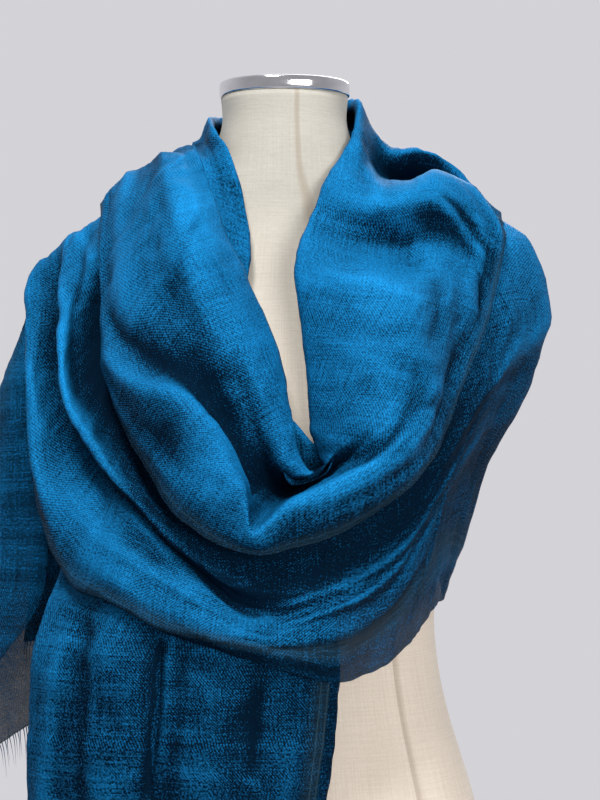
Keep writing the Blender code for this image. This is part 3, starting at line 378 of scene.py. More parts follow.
INNER_FINE = (
    ("swag pull", (8.6, 3.4), (10.2, 3.8), (12.2, 3.6), 2.0, 8.0),
    ("swag low pull", (8.8, 5.7), (10.6, 6.0), (12.6, 5.8), -2.0, 8.0),
    ("strip pull", (12.6, 5.4), (14.2, 5.5), (16.0, 5.4), 1.8, 7.0),
    ("hip pull", (15.2, 3.0), (16.6, 3.1), (18.4, 3.0), 2.4, 8.0),
    ("swing pull", (16.4, 2.2), (17.8, 2.2), (19.6, 2.1), -2.2, 7.0),
    ("swing outer pull", (16.6, 5.2), (18.2, 5.3), (20.0, 5.2), 2.4, 8.0),
    ("arm wrinkle", (18.6, 3.0), (19.4, 3.4), (20.2, 3.2), 2.4, 7.0),
    ("arm line", (18.9, 1.6), (19.4, 2.2), (19.8, 2.9), 2.2, 5.0),
    ("arm line low", (18.3, 1.9), (18.7, 2.3), (18.9, 2.9), -2.0, 5.0),
    ("swing line", (17.2, 4.8), (18.0, 5.2), (18.7, 5.9), 1.8, 5.0),
    ("swag line", (9.6, 4.4), (10.8, 4.7), (12.0, 4.6), 1.8, 5.0),
    ("strip line", (13.6, 4.9), (15.0, 4.9), (16.6, 4.8), 1.8, 5.0),
    ("trough line", (17.8, 4.0), (14.8, 4.0), (12.4, 4.3), -4.0, 5.0),
    ("slit", (8.3, 3.6), (8.7, 5.0), (8.8, 6.6), -4.0, 4.0),
    ("side wrinkle", (5.6, 2.4), (6.8, 2.8), (8.0, 2.6), 2.4, 9.0),
    ("side low wrinkle", (5.4, 6.0), (6.6, 6.2), (8.4, 6.2), 2.2, 8.0),
    ("back pull", (1.6, 2.6), (3.0, 3.8), (4.6, 2.8), 2.6, 9.0),
    ("back low pull", (1.8, 6.0), (3.2, 6.6), (5.0, 6.2), -2.4, 9.0),
    ("spread ridge", (22.0, 1.2), (24.0, 1.1), (26.6, 1.0), 3.2, 9.0),
    ("spread hollow", (22.2, 4.2), (24.4, 4.3), (26.4, 4.4), 3.4, 10.0),
)
TAIL_FINE = (
    ("dark line", (4.4, 1.95), (3.2, 1.97), (2.0, 2.14), -6.0, 3.2),
    ("lip beside the dark line", (4.5, 1.82), (3.2, 1.84), (2.0, 2.0), 1.6, 6.0),
    ("shadow line", (3.6, 0.86), (3.2, 0.87), (2.3, 0.88), -4.0, 4.0),
    ("hem pleat right", (-0.4, 0.4), (1.4, 0.5), (3.0, 0.4), 2.0, 7.0),
    ("middle line", (0.0, 1.8), (2.0, 1.8), (4.6, 1.7), -2.0, 6.0),
    ("left line", (0.6, 3.0), (2.4, 3.1), (5.0, 3.2), -2.4, 6.0),
    ("left pleat", (-0.2, 3.6), (2.0, 3.7), (4.6, 3.6), 2.4, 8.0),
)

# Painted light and shade: where the cloth is painted lighter or darker than its folds alone give: section and
# column, size along and across, and change
OUTER_PAINTED_LIGHT_AND_SHADE = (
    (22.7, 4.6, 42.0, 20.0, 0.40),
    (24.3, 4.1, 60.0, 34.0, -0.34),
    (20.8, 2.0, 34.0, 18.0, -0.45),
    (14.0, 2.6, 34.0, 50.0, 0.18),
    (15.6, 3.4, 50.0, 60.0, 0.06),
    (18.8, 4.2, 50.0, 22.0, 0.06),
    (26.4, 2.4, 50.0, 60.0, 0.14),
    (28.2, 1.4, 30.0, 60.0, -0.20),
    (11.0, 1.0, 40.0, 60.0, -0.15),
)
INNER_PAINTED_LIGHT_AND_SHADE = (
    (18.6, 2.2, 50.0, 36.0, 0.20),
    (17.4, 2.7, 40.0, 16.0, 0.16),
    (18.4, 4.3, 70.0, 14.0, -0.25),
    (17.0, 1.2, 50.0, 24.0, -0.20),
    (17.4, 5.6, 70.0, 30.0, -0.12),
    (23.4, 4.6, 90.0, 60.0, 0.26),
    (7.4, 4.0, 60.0, 60.0, 0.10),
)
TAIL_PAINTED_LIGHT_AND_SHADE = ((3.4, 0.86, 60.0, 10.0, -0.10),)

# Rumples all over the cloth: height and size along and across, and how far their ridges and hollows reach
RUMPLE_TOP = 0.45
RUMPLE_DEPTH = 2.2
RUMPLES = ((1.8, 70.0, 44.0), (1.0, 30.0, 20.0), (0.7, 26.0, 62.0), (0.6, 74.0, 12.0), (0.4, 13.0, 10.0))

# Fringes: strands of each, and the length, thickness, sides and steps of a strand and how deep its root is set
STRANDS = {"fringe_tail": 80, "fringe_throw_inner": 84, "fringe_throw_outer": 78}
STRAND_LENGTH = 33.0
STRAND_RADIUS = 0.55
STRAND_SIDES = 4
STRAND_STEPS = 5
STRAND_TAPER = 0.11
ROOT_DEPTH = 1.2


def through(rows, knots, places):
    """Reads a smooth curve through the rows, which stand at the knots, at each of the places."""
    rows = np.asarray(rows, float)
    steps = np.diff(knots)
    shape = (-1,) + (1,) * (rows.ndim - 1)
    slopes = np.diff(rows, axis=0) / steps.reshape(shape)
    before, after = steps[:-1].reshape(shape), steps[1:].reshape(shape)
    middle = (slopes[:-1] * after + slopes[1:] * before) / (before + after)
    tangents = np.concatenate([slopes[:1], middle, slopes[-1:]])
    left = np.clip(np.searchsorted(knots, places, side="right") - 1, 0, len(steps) - 1)
    t = ((places - knots[left]) / steps[left]).reshape(shape)
    span = steps[left].reshape(shape)
    near = (2 * t**3 - 3 * t**2 + 1) * rows[left] + (t**3 - 2 * t**2 + t) * span * tangents[left]
    far = (3 * t**2 - 2 * t**3) * rows[left + 1] + (t**3 - t**2) * span * tangents[left + 1]
    return near + far


def through_both(grid, knots, places):
    """The same on a grid, along it and then across it."""
    lines = through(grid, knots[0], places[0])
    return through(lines.transpose(1, 0, 2), knots[1], places[1]).transpose(1, 0, 2)


def knots_of(rows):
    """How far along the sheet each of its rows lies, on average over the columns."""
    steps = np.linalg.norm(np.diff(rows, axis=0), axis=-1).mean(axis=1)
    return np.concatenate([[0.0], np.cumsum(steps)])


def normals_of(points):
    normal = np.cross(np.gradient(points, axis=0), np.gradient(points, axis=1))
    return normal / np.maximum(np.linalg.norm(normal, axis=-1, keepdims=True), 1e-9)


def turned_under(rows, gap, depth):
    """The rows with two more columns before the first, so that the edge there is a rounded fold."""
    normal = normals_of(rows)[:, 0]
    inwards = rows[:, 1] - rows[:, 0]
    inwards /= np.linalg.norm(inwards, axis=-1, keepdims=True)
    edge = rows[:, 0]
    hidden = edge - normal * gap + inwards * depth
    bend = edge - normal * gap * 0.8 + inwards * gap * 0.4
    return np.concatenate([hidden[:, None], bend[:, None], rows], axis=1)


class Cloth:
    """A sheet that runs smoothly through the sections of a table, with creases pressed into it."""

    def __init__(self, rows, creases, fine, first_column=0, seed=0.0):
        self.rows = np.asarray(rows, float)
        self.creases = creases
        self.fine = fine
        self.first_column = first_column
        self.seed = seed
        self.along = knots_of(self.rows)
        self.across = knots_of(self.rows.transpose(1, 0, 2))

    def painted_light_and_shade_added(self, along, across, patches):
        """What a table of patches adds to the painted light and shade at each point of the grid."""
        added = np.zeros((len(along), len(across)))
        for section, column, long, wide, change in patches:
            u, v = self.place(section, column)
            far = ((along - u) / long)[:, None] ** 2 + ((across - v) / wide)[None, :] ** 2
            added += change * np.exp(-far)
        return added

    def stations(self, sections, counts):
        """Places along the cloth from section to section, with so many steps between one and the next."""
        stops = [self.along[section] for section in sections]
        runs = [np.linspace(a, b, count + 1)[1:] for a, b, count in zip(stops, stops[1:], counts)]
        return np.concatenate([stops[:1], *runs])

    def columns(self, count):
        return np.linspace(0, self.across[-1], count + 1)

    def smooth(self, along, across):
        return through_both(self.rows, (self.along, self.across), (along, across))

    def place(self, section, column):
        along = np.interp(section, np.arange(len(self.along)), self.along)
        across = np.interp(column + self.first_column, np.arange(len(self.across)), self.across)
        return np.array([along, across])

    def pressed(self, along, across, creases):
        """How far the creases lift each point of the grid from the smooth sheet."""
        spots = np.stack(np.meshgrid(along, across, indexing="ij"), axis=-1)
        lift = np.zeros(spots.shape[:2])
        for _, start, middle, end, rise, width in creases:
            path = [self.place(*spot) for spot in (start, middle, end)]
            whole = sum(np.linalg.norm(b - a) for a, b in zip(path, path[1:]))
            nearest = np.full(lift.shape, np.inf)
            along_path = np.zeros(lift.shape)
            walked = 0.0
            for a, b in zip(path, path[1:]):
                leg = b - a
                length = np.linalg.norm(leg)
                t = np.clip(((spots - a) @ leg) / length**2, 0, 1)
                away = np.linalg.norm(spots - a - t[..., None] * leg, axis=-1)
                closer = away < nearest
                nearest = np.where(closer, away, nearest)
                along_path = np.where(closer, (walked + t * length) / whole, along_path)
                walked += length
            fade = np.sqrt(np.clip(1 - (2 * along_path - 1) ** 4, 0, 1))
            lift += rise * fade * np.exp(-((nearest / width) ** 2))
        return lift

    def rumpled(self, along, across):
        """Low uneven rumples, with sharper ridges than hollows."""
        lift = np.zeros((len(along), len(across)))
        for index in np.ndindex(*lift.shape):
            u, v = along[index[0]], across[index[1]]
            for height, long, wide in RUMPLES:
                wave = noise.noise(Vector((u / long, v / wide, self.seed + height * 7)))
                lift[index] += height * (RUMPLE_TOP - RUMPLE_DEPTH * abs(wave))
        return lift

    def laid(self, sections, counts, across_count, lay):
        """The coarse sheet, laid, with its stations and the shift that the laying gives it."""
        places = (self.stations(sections, counts), self.columns(across_count))
        plain = self.smooth(*places)
        plain = plain + normals_of(plain) * self.pressed(*places, self.creases)[..., None]
        laid = lay(plain)
        return {"places": places, "laid": laid, "shift": laid - plain}

    def refined(self, laid):
        """The fine sheet's places and points, with every crease and rumple, and its fine creases' lift."""
        coarse = laid["places"]
        fine = tuple(np.linspace(p[0], p[-1], max(2, round((p[-1] - p[0]) / SPACING)) + 1) for p in coarse)
        points = self.smooth(*fine)
        creased = self.pressed(*fine, self.fine)
        lift = self.pressed(*fine, self.creases) + creased + self.rumpled(*fine)
        points = points + normals_of(points) * lift[..., None]
        return fine, points + through_both(laid["shift"], coarse, fine), creased


def neighbour_mean(values):
    padded = np.pad(values, ((1, 1), (1, 1), (0, 0)), mode="edge")
    return (padded[:-2, 1:-1] + padded[2:, 1:-1] + padded[1:-1, :-2] + padded[1:-1, 2:]) / 4


def lift_off(points, tree, pitch, first_row):
    """For each point, the way off the layer below and how far it has to go that way, or nothing."""
    ways = np.zeros(points.shape)
    needed = np.zeros(points.shape[:2])
    for index in np.ndindex(*needed.shape):
        if index[0] < first_row:
            continue
        spot = Vector(points[index])
        found, normal, _, far = tree.find_nearest(spot, MOST_LIFT + pitch)
        if found is None:
            continue
        height = (spot - found).dot(normal)
        aside = math.sqrt(max(far * far - height * height, 0.0))
        if aside < pitch and height < pitch:
            ways[index] = normal
            needed[index] = min(pitch - height, MOST_LIFT)
    return ways, needed


def laid_over(points, below, pitch=LAYER_PITCH, first_row=0, folded=0, rounds=9):
    """The sheet, from a row on, moved until it lies the pitch above each tree below it."""
    for _ in range(rounds):
        most = 0.0
        for tree in below:
            ways, needed = lift_off(points, tree, pitch, first_row)
            if folded:
                worst = needed[:, :folded].argmax(axis=1)
                rows = np.arange(len(points))
                ways[:, :folded] = ways[rows, worst][:, None]
                needed[:, :folded] = needed[rows, worst][:, None]
            most = max(most, needed.max())
            moves = ways * needed[..., None]
            for _ in range(SPREAD_ROUNDS):
                moves = neighbour_mean(moves)
                short = np.clip(needed - (moves * ways).sum(axis=-1), 0, None)
                moves += ways * short[..., None]
            points = points + moves
        if most < LAID_WITHIN:
            break
    return points


def drawn_to(points, edge):
    """The sheet drawn to the edge of the stretch that it continues, less and less so further along it."""
    share = np.clip(knots_of(points) / SEAM_FADE, 0, 1)
    share = (1 - share) ** 2 * (1 + 2 * share)
    return points + share[:, None, None] * (edge - points[0])


def skirted(points, first_column):
    """The sheet with its edges run on a little way, so that what lies over it meets no bare edge."""
    def run_on(edge, inner):
        away = edge - inner
        return (edge + away / np.linalg.norm(away, axis=-1, keepdims=True) * SKIRT)[None]
    points = np.concatenate([run_on(points[0], points[1]), points, run_on(points[-1], points[-2])])
    across = points.transpose(1, 0, 2)
    ends = [run_on(across[0], across[1])] if first_column else []
    across = np.concatenate([*ends, across, run_on(across[-1], across[-2])])
    return across.transpose(1, 0, 2)


def grid_tree(points, flipped=False):
    """A search tree of a grid's faces, which face as its normals do, or the other way."""
    rows, columns = points.shape[:2]
    steps = (0, 1, columns + 1, columns) if flipped else (0, columns, columns + 1, 1)
    corners = [row * columns + column for row in range(rows - 1) for column in range(columns - 1)]
    faces = [tuple(corner + step for step in steps) for corner in corners]
    return BVHTree.FromPolygons([Vector(point) for point in points.reshape(-1, 3)], faces)


def tree_of(points, first_column=True):
    return grid_tree(skirted(points, first_column))


def tail_rows():
    """Sections of the front end folded in three: the front panel, then one behind it, then one behind both."""
    rows = []
    for panel in np.array(list(TAIL.values()), float):
        middle = panel[::-1] + (0, TAIL_LAYER, 0)
        inner = panel + (0, 2 * TAIL_LAYER, 0)
        middle[0] += (TAIL_LAYER * 0.5, 0, 0)
        middle[-1] += (TAIL_PEEK * 0.3, 0, 0)
        inner[-1] += (TAIL_BACK_INSET, 0, 0)
        left_turn = panel[-1] + (-TAIL_LAYER * 0.4, TAIL_LAYER * 0.5, 0)
        right_turn = panel[0] + (TAIL_PEEK, TAIL_LAYER * 1.5, 0)
        rows.append(np.vstack([panel, left_turn, middle, right_turn, inner]))
    return np.array(rows)


def form_point(turn, ring):
    """A point of the form's ring, at an angle from +X, on a rounded oval that is deeper at the bust."""
    height, half_width, front, back = ring
    c, s = math.cos(turn), math.sin(turn)
    power = 2 / FORM_ROUNDNESS
    x = math.copysign(abs(c) ** power, c) * half_width
    y = math.copysign(abs(s) ** power, s) * (back if s > 0 else front)
    if s < 0:
        for side in (-1, 1):
            away = math.hypot(x - side * BUST_APART, height - BUST_HEIGHT) / BUST_SIZE
            y -= BUST_REACH * math.exp(-away * away)
    return (x, y, height)


def coarse_form_tree():
    """The solid form's own facets, which the cloth is laid over."""
    turns = [2 * math.pi * (i + 0.5) / FORM_SIDES for i in range(FORM_SIDES + 1)]
    points = np.array([[form_point(turn, ring) for turn in turns] for ring in FORM_RINGS])
    return grid_tree(points, flipped=True)


# ---- the cloth

def lay_cloth():
    """Every run of cloth at full fineness, as places, points and its fine creases' lift, and the sheets."""
    form = coarse_form_tree()
    outer_rows = turned_under(np.array(list(OUTER.values()), float), TURN_GAP, TURN_DEPTH)
    outer = Cloth(outer_rows, OUTER_CREASES, OUTER_FINE, first_column=2, seed=3.0)
    inner = Cloth(list(INNER.values()), INNER_CREASES, INNER_FINE, seed=11.0)
    tail = Cloth(tail_rows(), TAIL_CREASES, TAIL_FINE, seed=23.0)
    o = {name: number for number, name in enumerate(OUTER)}
    i = {name: number for number, name in enumerate(INNER)}
    steps = ACROSS_STEPS
    folded = FOLD_COLUMNS

    back = inner.laid((i["gather"], i["side"]), (20,), steps, lambda p: laid_over(p, [form]))
    back_tree = tree_of(back["laid"])
    collar = outer.laid(
        (o["chest_low"], o["shoulder_left"], o["back_right"]), (15, 10), steps,
        lambda p: laid_over(p, [form, back_tree], folded=folded),
    )
    collar_tree = tree_of(collar["laid"], first_column=False)
    front = tail.laid(
        (0, len(TAIL) - 1), (10,), TAIL_STEPS, lambda p: laid_over(p, [form, collar_tree], TAIL_PITCH)
    )
    tail_tree = tree_of(front["laid"][:, :TAIL_STEPS // 3 + 1])

    def lay_swag(p):
        p = laid_over(drawn_to(p, back["laid"][-1]), [form, collar_tree, tail_tree])
        return laid_over(p, [collar_tree, back_tree], first_row=SWAG_CROSSING)
    swag = inner.laid((i["side"], i["arm_top"], i["throw_hem"]), (40, 12), steps, lay_swag)
    swag_tree = tree_of(swag["laid"])

    def lay_cowl(p):
        p = laid_over(drawn_to(p, collar["laid"][-1]), [form, back_tree, tail_tree, swag_tree], folded=folded)
        return laid_over(p, [collar_tree], first_row=COWL_CROSSING, folded=folded)
    cowl = outer.laid((o["back_right"], o["band_top"], o["throw_hem"]), (44, 14), steps, lay_cowl)

    fine = {
        "back": inner.refined(back),
        "collar": outer.refined(collar),
        "tail": tail.refined(front),
        "swag": inner.refined(swag),
        "cowl": outer.refined(cowl),
    }

    def settled(name, below):
        places, points, creased = fine[name]
        fine[name] = (places, laid_over(points, below, CLOSE_PITCH, rounds=3), creased)
    settled("back", [form])
    fine_back = tree_of(fine["back"][1])
    settled("collar", [form, fine_back])
    fine_collar = tree_of(fine["collar"][1], first_column=False)
    settled("tail", [form])
    fine_tail = tree_of(fine["tail"][1][:, :len(fine["tail"][0][1]) // 3])
    settled("swag", [form, fine_collar, fine_tail])
    fine_swag = tree_of(fine["swag"][1])
    settled("cowl", [form, fine_tail, fine_swag])
    return fine, outer, inner, tail


def whole_flap(first, second):
    """Two runs of one flap, with the same columns, as a single sheet. The second is drawn to the first."""
    (along, across), points, creased = first
    (more, _), further, creased_more = second
    further = drawn_to(further, points[-1])
    return (
        (np.concatenate([along, more[1:]]), across),
        np.concatenate([points, further[1:]]),
        np.concatenate([creased, creased_more[1:]]),
    )


def grid_mesh(points):
    """A grid of faces whose corners are moved to the points."""
    rows, columns = points.shape[:2]
    bm = bmesh.new()
    bmesh.ops.create_grid(bm, x_segments=columns - 1, y_segments=rows - 1, size=1)
    bm.verts.ensure_lookup_table()
    for vertex, point in zip(bm.verts, points.reshape(-1, 3)):
        vertex.co = Vector(point) * MM
    return bm


def object_from(name, bm, finish, nodes):
    """A finished piece that rides with the model and stands for its nodes."""
    mesh = bpy.data.meshes.new(name)
    bm.to_mesh(mesh)
    bm.free()
    mesh.shade_smooth()
    made = bpy.data.objects.new(name, mesh)
    made.data.materials.append(finish)
    bpy.context.scene.collection.objects.link(made)
    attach(made, "root")
    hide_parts(*nodes)
    return made


def standing_out(points):
    """How far each point stands out of the cloth round it, or lies in a hollow of it, in millimetres."""
    around = points
    for _ in range(FOLD_ROUNDS):
        around = neighbour_mean(around)
    return ((points - around) * normals_of(points)).sum(axis=-1)


def painted_light_and_shade_of(points, creased):
    """Painted light and shade on the cloth: lighter where it faces up and on its crests, darker in its hollows
    and creases.
    """
    folds = np.clip(standing_out(points) / FOLD_HEIGHT, -0.16, 0.25)
    lines = np.clip(creased / CREASE_HEIGHT, -0.3, 0.2)
    return normals_of(points)[..., 2] * FACING_SHARE + folds + lines


def cloth_shell(name, sheet, cloth, patches, free_edges, look, finish, nodes):
    """A thin shell of cloth that knows its place in the cut, its selvage, its sheerness, and the painted light
    and shade on it.
    """
    (along, across), points, creased = sheet
    widths = np.linalg.norm(np.diff(points, axis=1), axis=-1)
    drawn = np.concatenate([np.zeros((len(along), 1)), np.cumsum(widths, axis=1)], axis=1)
    drawn = drawn - drawn[:, -1:] + across[-1]
    # Painted light and shade at each point: from the folds, the way the cloth faces and the patch table
    painted_light_and_shade_values = painted_light_and_shade_of(points, creased) + cloth.painted_light_and_shade_added(along, across, patches)
    bm = grid_mesh(points)
    cut = bm.loops.layers.uv.new("cut")
    edge = bm.verts.layers.float.new("edge")
    thin = bm.verts.layers.float.new("sheer")
    painted_light_and_shade = bm.verts.layers.float.new("painted_light_and_shade")
    for vertex in bm.verts:
        row, column = divmod(vertex.index, len(across))
        vertex[edge] = min(abs(across[column] - place) for place in free_edges)
        vertex[thin], painted_shade = look(along[row], across[column])
        # The painted light and shade, less the painted shade that the look gives
        vertex[painted_light_and_shade] = painted_light_and_shade_values[row, column] - painted_shade
        for loop in vertex.link_loops:
            loop[cut].uv = (along[row] * MM, drawn[row, column] * MM)
    made = object_from(name, bm, finish, nodes)
    wall = made.modifiers.new("wall", "SOLIDIFY")
    wall.thickness = SHELL * MM
    wall.offset = 0
    return made


def wander(index, seed):
    """A repeatable value from 0 to 1 for each strand."""
    return math.modf(abs(math.sin(index * 12.9898 + seed * 78.233)) * 43758.5453)[0]


def extruded(bm, face, moved):
    """The face's copy, drawn out of it, with each of its corners where moved puts it."""
    made = bmesh.ops.extrude_face_region(bm, geom=[face, *face.edges])["geom"]
    for vertex in (part for part in made if isinstance(part, bmesh.types.BMVert)):
        vertex.co = moved(vertex)
    return next(part for part in made if isinstance(part, bmesh.types.BMFace))


def fringe(node, hem, down, finish):
    """Loose threads below a hem: thin tapered tubes that sway each its own way."""
    count = STRANDS[node]
    lengths = np.concatenate([[0.0], np.cumsum(np.linalg.norm(np.diff(hem, axis=0), axis=1))])
    bm = bmesh.new()
    for index in range(count):
        near = (index + 0.5 + 0.5 * (wander(index, 1) - 0.5)) / count * lengths[-1]
        root = Vector([np.interp(near, lengths, hem[:, axis]) for axis in range(3)])
        fall = Vector([np.interp(near, lengths, down[:, axis]) for axis in range(3)]).normalized()
        far = STRAND_LENGTH * (0.55 + 0.5 * wander(index, 2))
        sway = Vector((wander(index, 3) - 0.5, wander(index, 4) - 0.5, 0)) * 0.7
        aim = (fall * 0.5 + Vector((0, 0, -0.7)) + sway * 0.35).normalized()
        bow = sway.cross(aim) * 3.0
        ring = bmesh.ops.create_circle(
            bm, cap_ends=True, segments=STRAND_SIDES, radius=STRAND_RADIUS
        )["verts"]
        turn = fall.to_track_quat("Z", "Y")
        centre = root - fall * ROOT_DEPTH
        for vertex in ring:
            vertex.co = turn @ vertex.co + root - fall * ROOT_DEPTH
        face = ring[0].link_faces[0]
        for step in range(1, STRAND_STEPS + 1):
            t = step / STRAND_STEPS
            spot = root + fall * far * 0.3 * t + aim * far * 0.7 * t * t + bow * math.sin(t * math.pi)
            thinner = 1 - STRAND_TAPER * step
            face = extruded(bm, face, lambda vertex: spot + (vertex.co - centre) * thinner)
            centre = spot
    bmesh.ops.scale(bm, vec=(MM, MM, MM), verts=bm.verts)
    bmesh.ops.recalc_face_normals(bm, faces=bm.faces)
    return object_from(node + "_threads", bm, finish, [node])


def stacked(rings):
    """A closed body from a stack of rings of points, with a flat face at each end."""
    bm = bmesh.new()
    bmesh.ops.create_circle(bm, cap_ends=True, segments=len(rings[0]), radius=1)
    number = bm.verts.layers.int.new("number")
    for index, vertex in enumerate(bm.verts):
        vertex[number] = index
        vertex.co = Vector(rings[0][index]) * MM
    bm.faces.ensure_lookup_table()
    face = bm.faces[0]
    for ring in rings[1:]:
        face = extruded(bm, face, lambda vertex: Vector(ring[vertex[number]]) * MM)
    bmesh.ops.recalc_face_normals(bm, faces=bm.faces)
    return bm


def smooth_turns():
    """Angles round the form, close together at its seams."""
    turns = {float(turn) for turn in range(-180, 180, 360 // SMOOTH_SIDES)}
    for seam in SEAM_TURNS:
        turns = {turn for turn in turns if min(abs(turn - seam), abs(turn - seam - 360)) > SEAM_CLEAR}
        turns |= {seam - SEAM_WIDTH, seam, seam + SEAM_WIDTH}
    return [math.radians(turn) for turn in sorted(turns)]


def seam_away(degrees, height):
    """How many degrees it is to the nearest seam. Only the middle and side seams run on up the neck."""
    seams = SEAM_TURNS if height < SHOULDER_HEIGHT else [seam for seam in SEAM_TURNS if seam % 90 == 0]
    return min(abs(degrees - seam) for seam in seams)


def dress_form(finish):
    """The smooth form, with its seams pressed in and a rounded lower rim."""
    turns = smooth_turns()
    sizes = np.array(FORM_RINGS, float)
    heights = np.linspace(sizes[0, 0], sizes[-1, 0], SMOOTH_HEIGHTS)
    rings = []
    for size in through(sizes, sizes[:, 0], heights):
        ring = []
        for turn in turns:
            x, y, z = form_point(turn, size)
            sewn = seam_away(math.degrees(turn), z) < SEAM_WIDTH / 2
            inwards = (SEAM_DEPTH if sewn else 0.0) / math.hypot(x, y)
            ring.append((x * (1 - inwards), y * (1 - inwards), z))
        rings.append(ring)
    lowest = rings[0]
    rim = [[(x * share, y * share, z + rise) for x, y, z in lowest] for share, rise in RIM]
    rings[0] = [(x, y, z + RIM_HEIGHT) for x, y, z in lowest]
    bm = stacked(rim + rings)
    seam = bm.verts.layers.float.new("seam")
    for index, vertex in enumerate(bm.verts):
        vertex[seam] = seam_away(math.degrees(turns[index % len(turns)]), vertex.co.z / MM)
    return object_from("dress_form", bm, finish, ["form_torso"])


def neck_band(finish):
    """The polished band and top of the neck."""
    _, half_width, front, back = FORM_RINGS[-1]
    turns = [2 * math.pi * i / SMOOTH_SIDES for i in range(SMOOTH_SIDES)]
    rings = []
    for out, rise in CAP:
        size = (NECK_TOP + REST_GAP + rise, half_width + out, front + out, back + out)
        rings.append([form_point(turn, size) for turn in turns])
    return object_from("neck_band", stacked(rings), finish, ["neck_cap"])


def turned_piece(name, profile, sides, finish, nodes):
    """A round piece from its radii and heights."""
    turns = [2 * math.pi * i / sides for i in range(sides)]
    rings = [[(r * math.cos(turn), r * math.sin(turn), z) for turn in turns] for r, z in profile]
    return object_from(name, stacked(rings), finish, nodes)


class Value:
    """A number that a material works out, with which sums are written as sums."""

    def __init__(self, finish, socket):
        self.finish = finish
        self.socket = socket

    def made(self, operation, *values):
        return self.finish.add("ShaderNodeMath", {"operation": operation}, dict(enumerate(values)))

    def __add__(self, other):
        return self.made("ADD", self, other)

    def __sub__(self, other):
        return self.made("SUBTRACT", self, other)

    def __rsub__(self, other):
        return self.made("SUBTRACT", other, self)

    def __mul__(self, other):
        return self.made("MULTIPLY", self, other)

    __radd__ = __add__
    __rmul__ = __mul__

    def __truediv__(self, other):
        return self.made("DIVIDE", self, other)

    def wave(self, pitch):
        """A wave from -1 to 1 that repeats each time the value grows by the pitch."""
        return self.made("SINE", self * (2 * math.pi / pitch))

    def size(self):
        return self.made("ABSOLUTE", self)

    def between(self, low, high):
        return self.made("MINIMUM", self.made("MAXIMUM", self, low), high)

    def held(self):
        """The value kept between 0 and 1."""
        return self.between(0.0, 1.0)

    def below(self, limit, soft):
        """1 where the value is under the limit and 0 above it, with a soft step between."""
        return ((limit - self) / soft + 0.5).held()


class Finish:
    """A material under construction."""

    def __init__(self, name):
        self.material = bpy.data.materials.new(name)
        self.material.use_nodes = True
        self.nodes = self.material.node_tree.nodes
        self.links = self.material.node_tree.links
        self.shader = self.nodes["Principled BSDF"]

    def join(self, socket, value):
        if isinstance(value, Value):
            self.links.new(value.socket, socket)
        else:
            socket.default_value = value

    def add(self, kind, settings=None, sockets=None, output=0):
        made = self.nodes.new(kind)
        for name, value in (settings or {}).items():
            setattr(made, name, value)
        for name, value in (sockets or {}).items():
            self.join(made.inputs[name], value)
        return Value(self, made.outputs[output])

    def set(self, **values):
        for name, value in values.items():
            self.join(self.shader.inputs[name.replace("_", " ")], value)
        return self.material

    def cut_place(self):
        """Where a point lies in the cut cloth, along and across, in millimetres."""
        uv = self.add("ShaderNodeUVMap", {"uv_map": "cut"})
        u = self.add("ShaderNodeSeparateXYZ", sockets={0: uv}, output=0)
        v = self.add("ShaderNodeSeparateXYZ", sockets={0: uv}, output=1)
        return u * 1000.0, v * 1000.0

    def object_place(self):
        """Where a point lies on the object, in millimetres."""
        place = self.add("ShaderNodeTexCoord", output=3)
        return tuple(
            self.add("ShaderNodeSeparateXYZ", sockets={0: place}, output=axis) * 1000.0 for axis in range(3)
        )

    def attribute(self, name):
        return self.add("ShaderNodeAttribute", {"attribute_name": name}, output=2)

    def cloud(self, *place, detail=2.0, roughness=0.5):
        """Smooth noise from 0 to 1 at a place given in steps of its own size."""
        spot = self.add("ShaderNodeCombineXYZ", sockets=dict(enumerate(place)))
        sockets = {"Vector": spot, "Scale": 1.0, "Detail": detail, "Roughness": roughness}
        return self.add("ShaderNodeTexNoise", sockets=sockets)

    def patches(self, wide, high, detail=2.0):
        """The same all over the object, in patches of a width and a height in millimetres."""
        x, y, z = self.object_place()
        return self.cloud(x / wide, y / wide, z / high, detail=detail)

    def mixed(self, share, first, second):
        settings = {"data_type": "RGBA"}
        return self.add("ShaderNodeMix", settings, {0: share, 6: first, 7: second}, output=2)

    def bump(self, height, distance, strength=1.0):
        sockets = {"Height": height, "Distance": distance, "Strength": strength}
        return self.add("ShaderNodeBump", sockets=sockets)


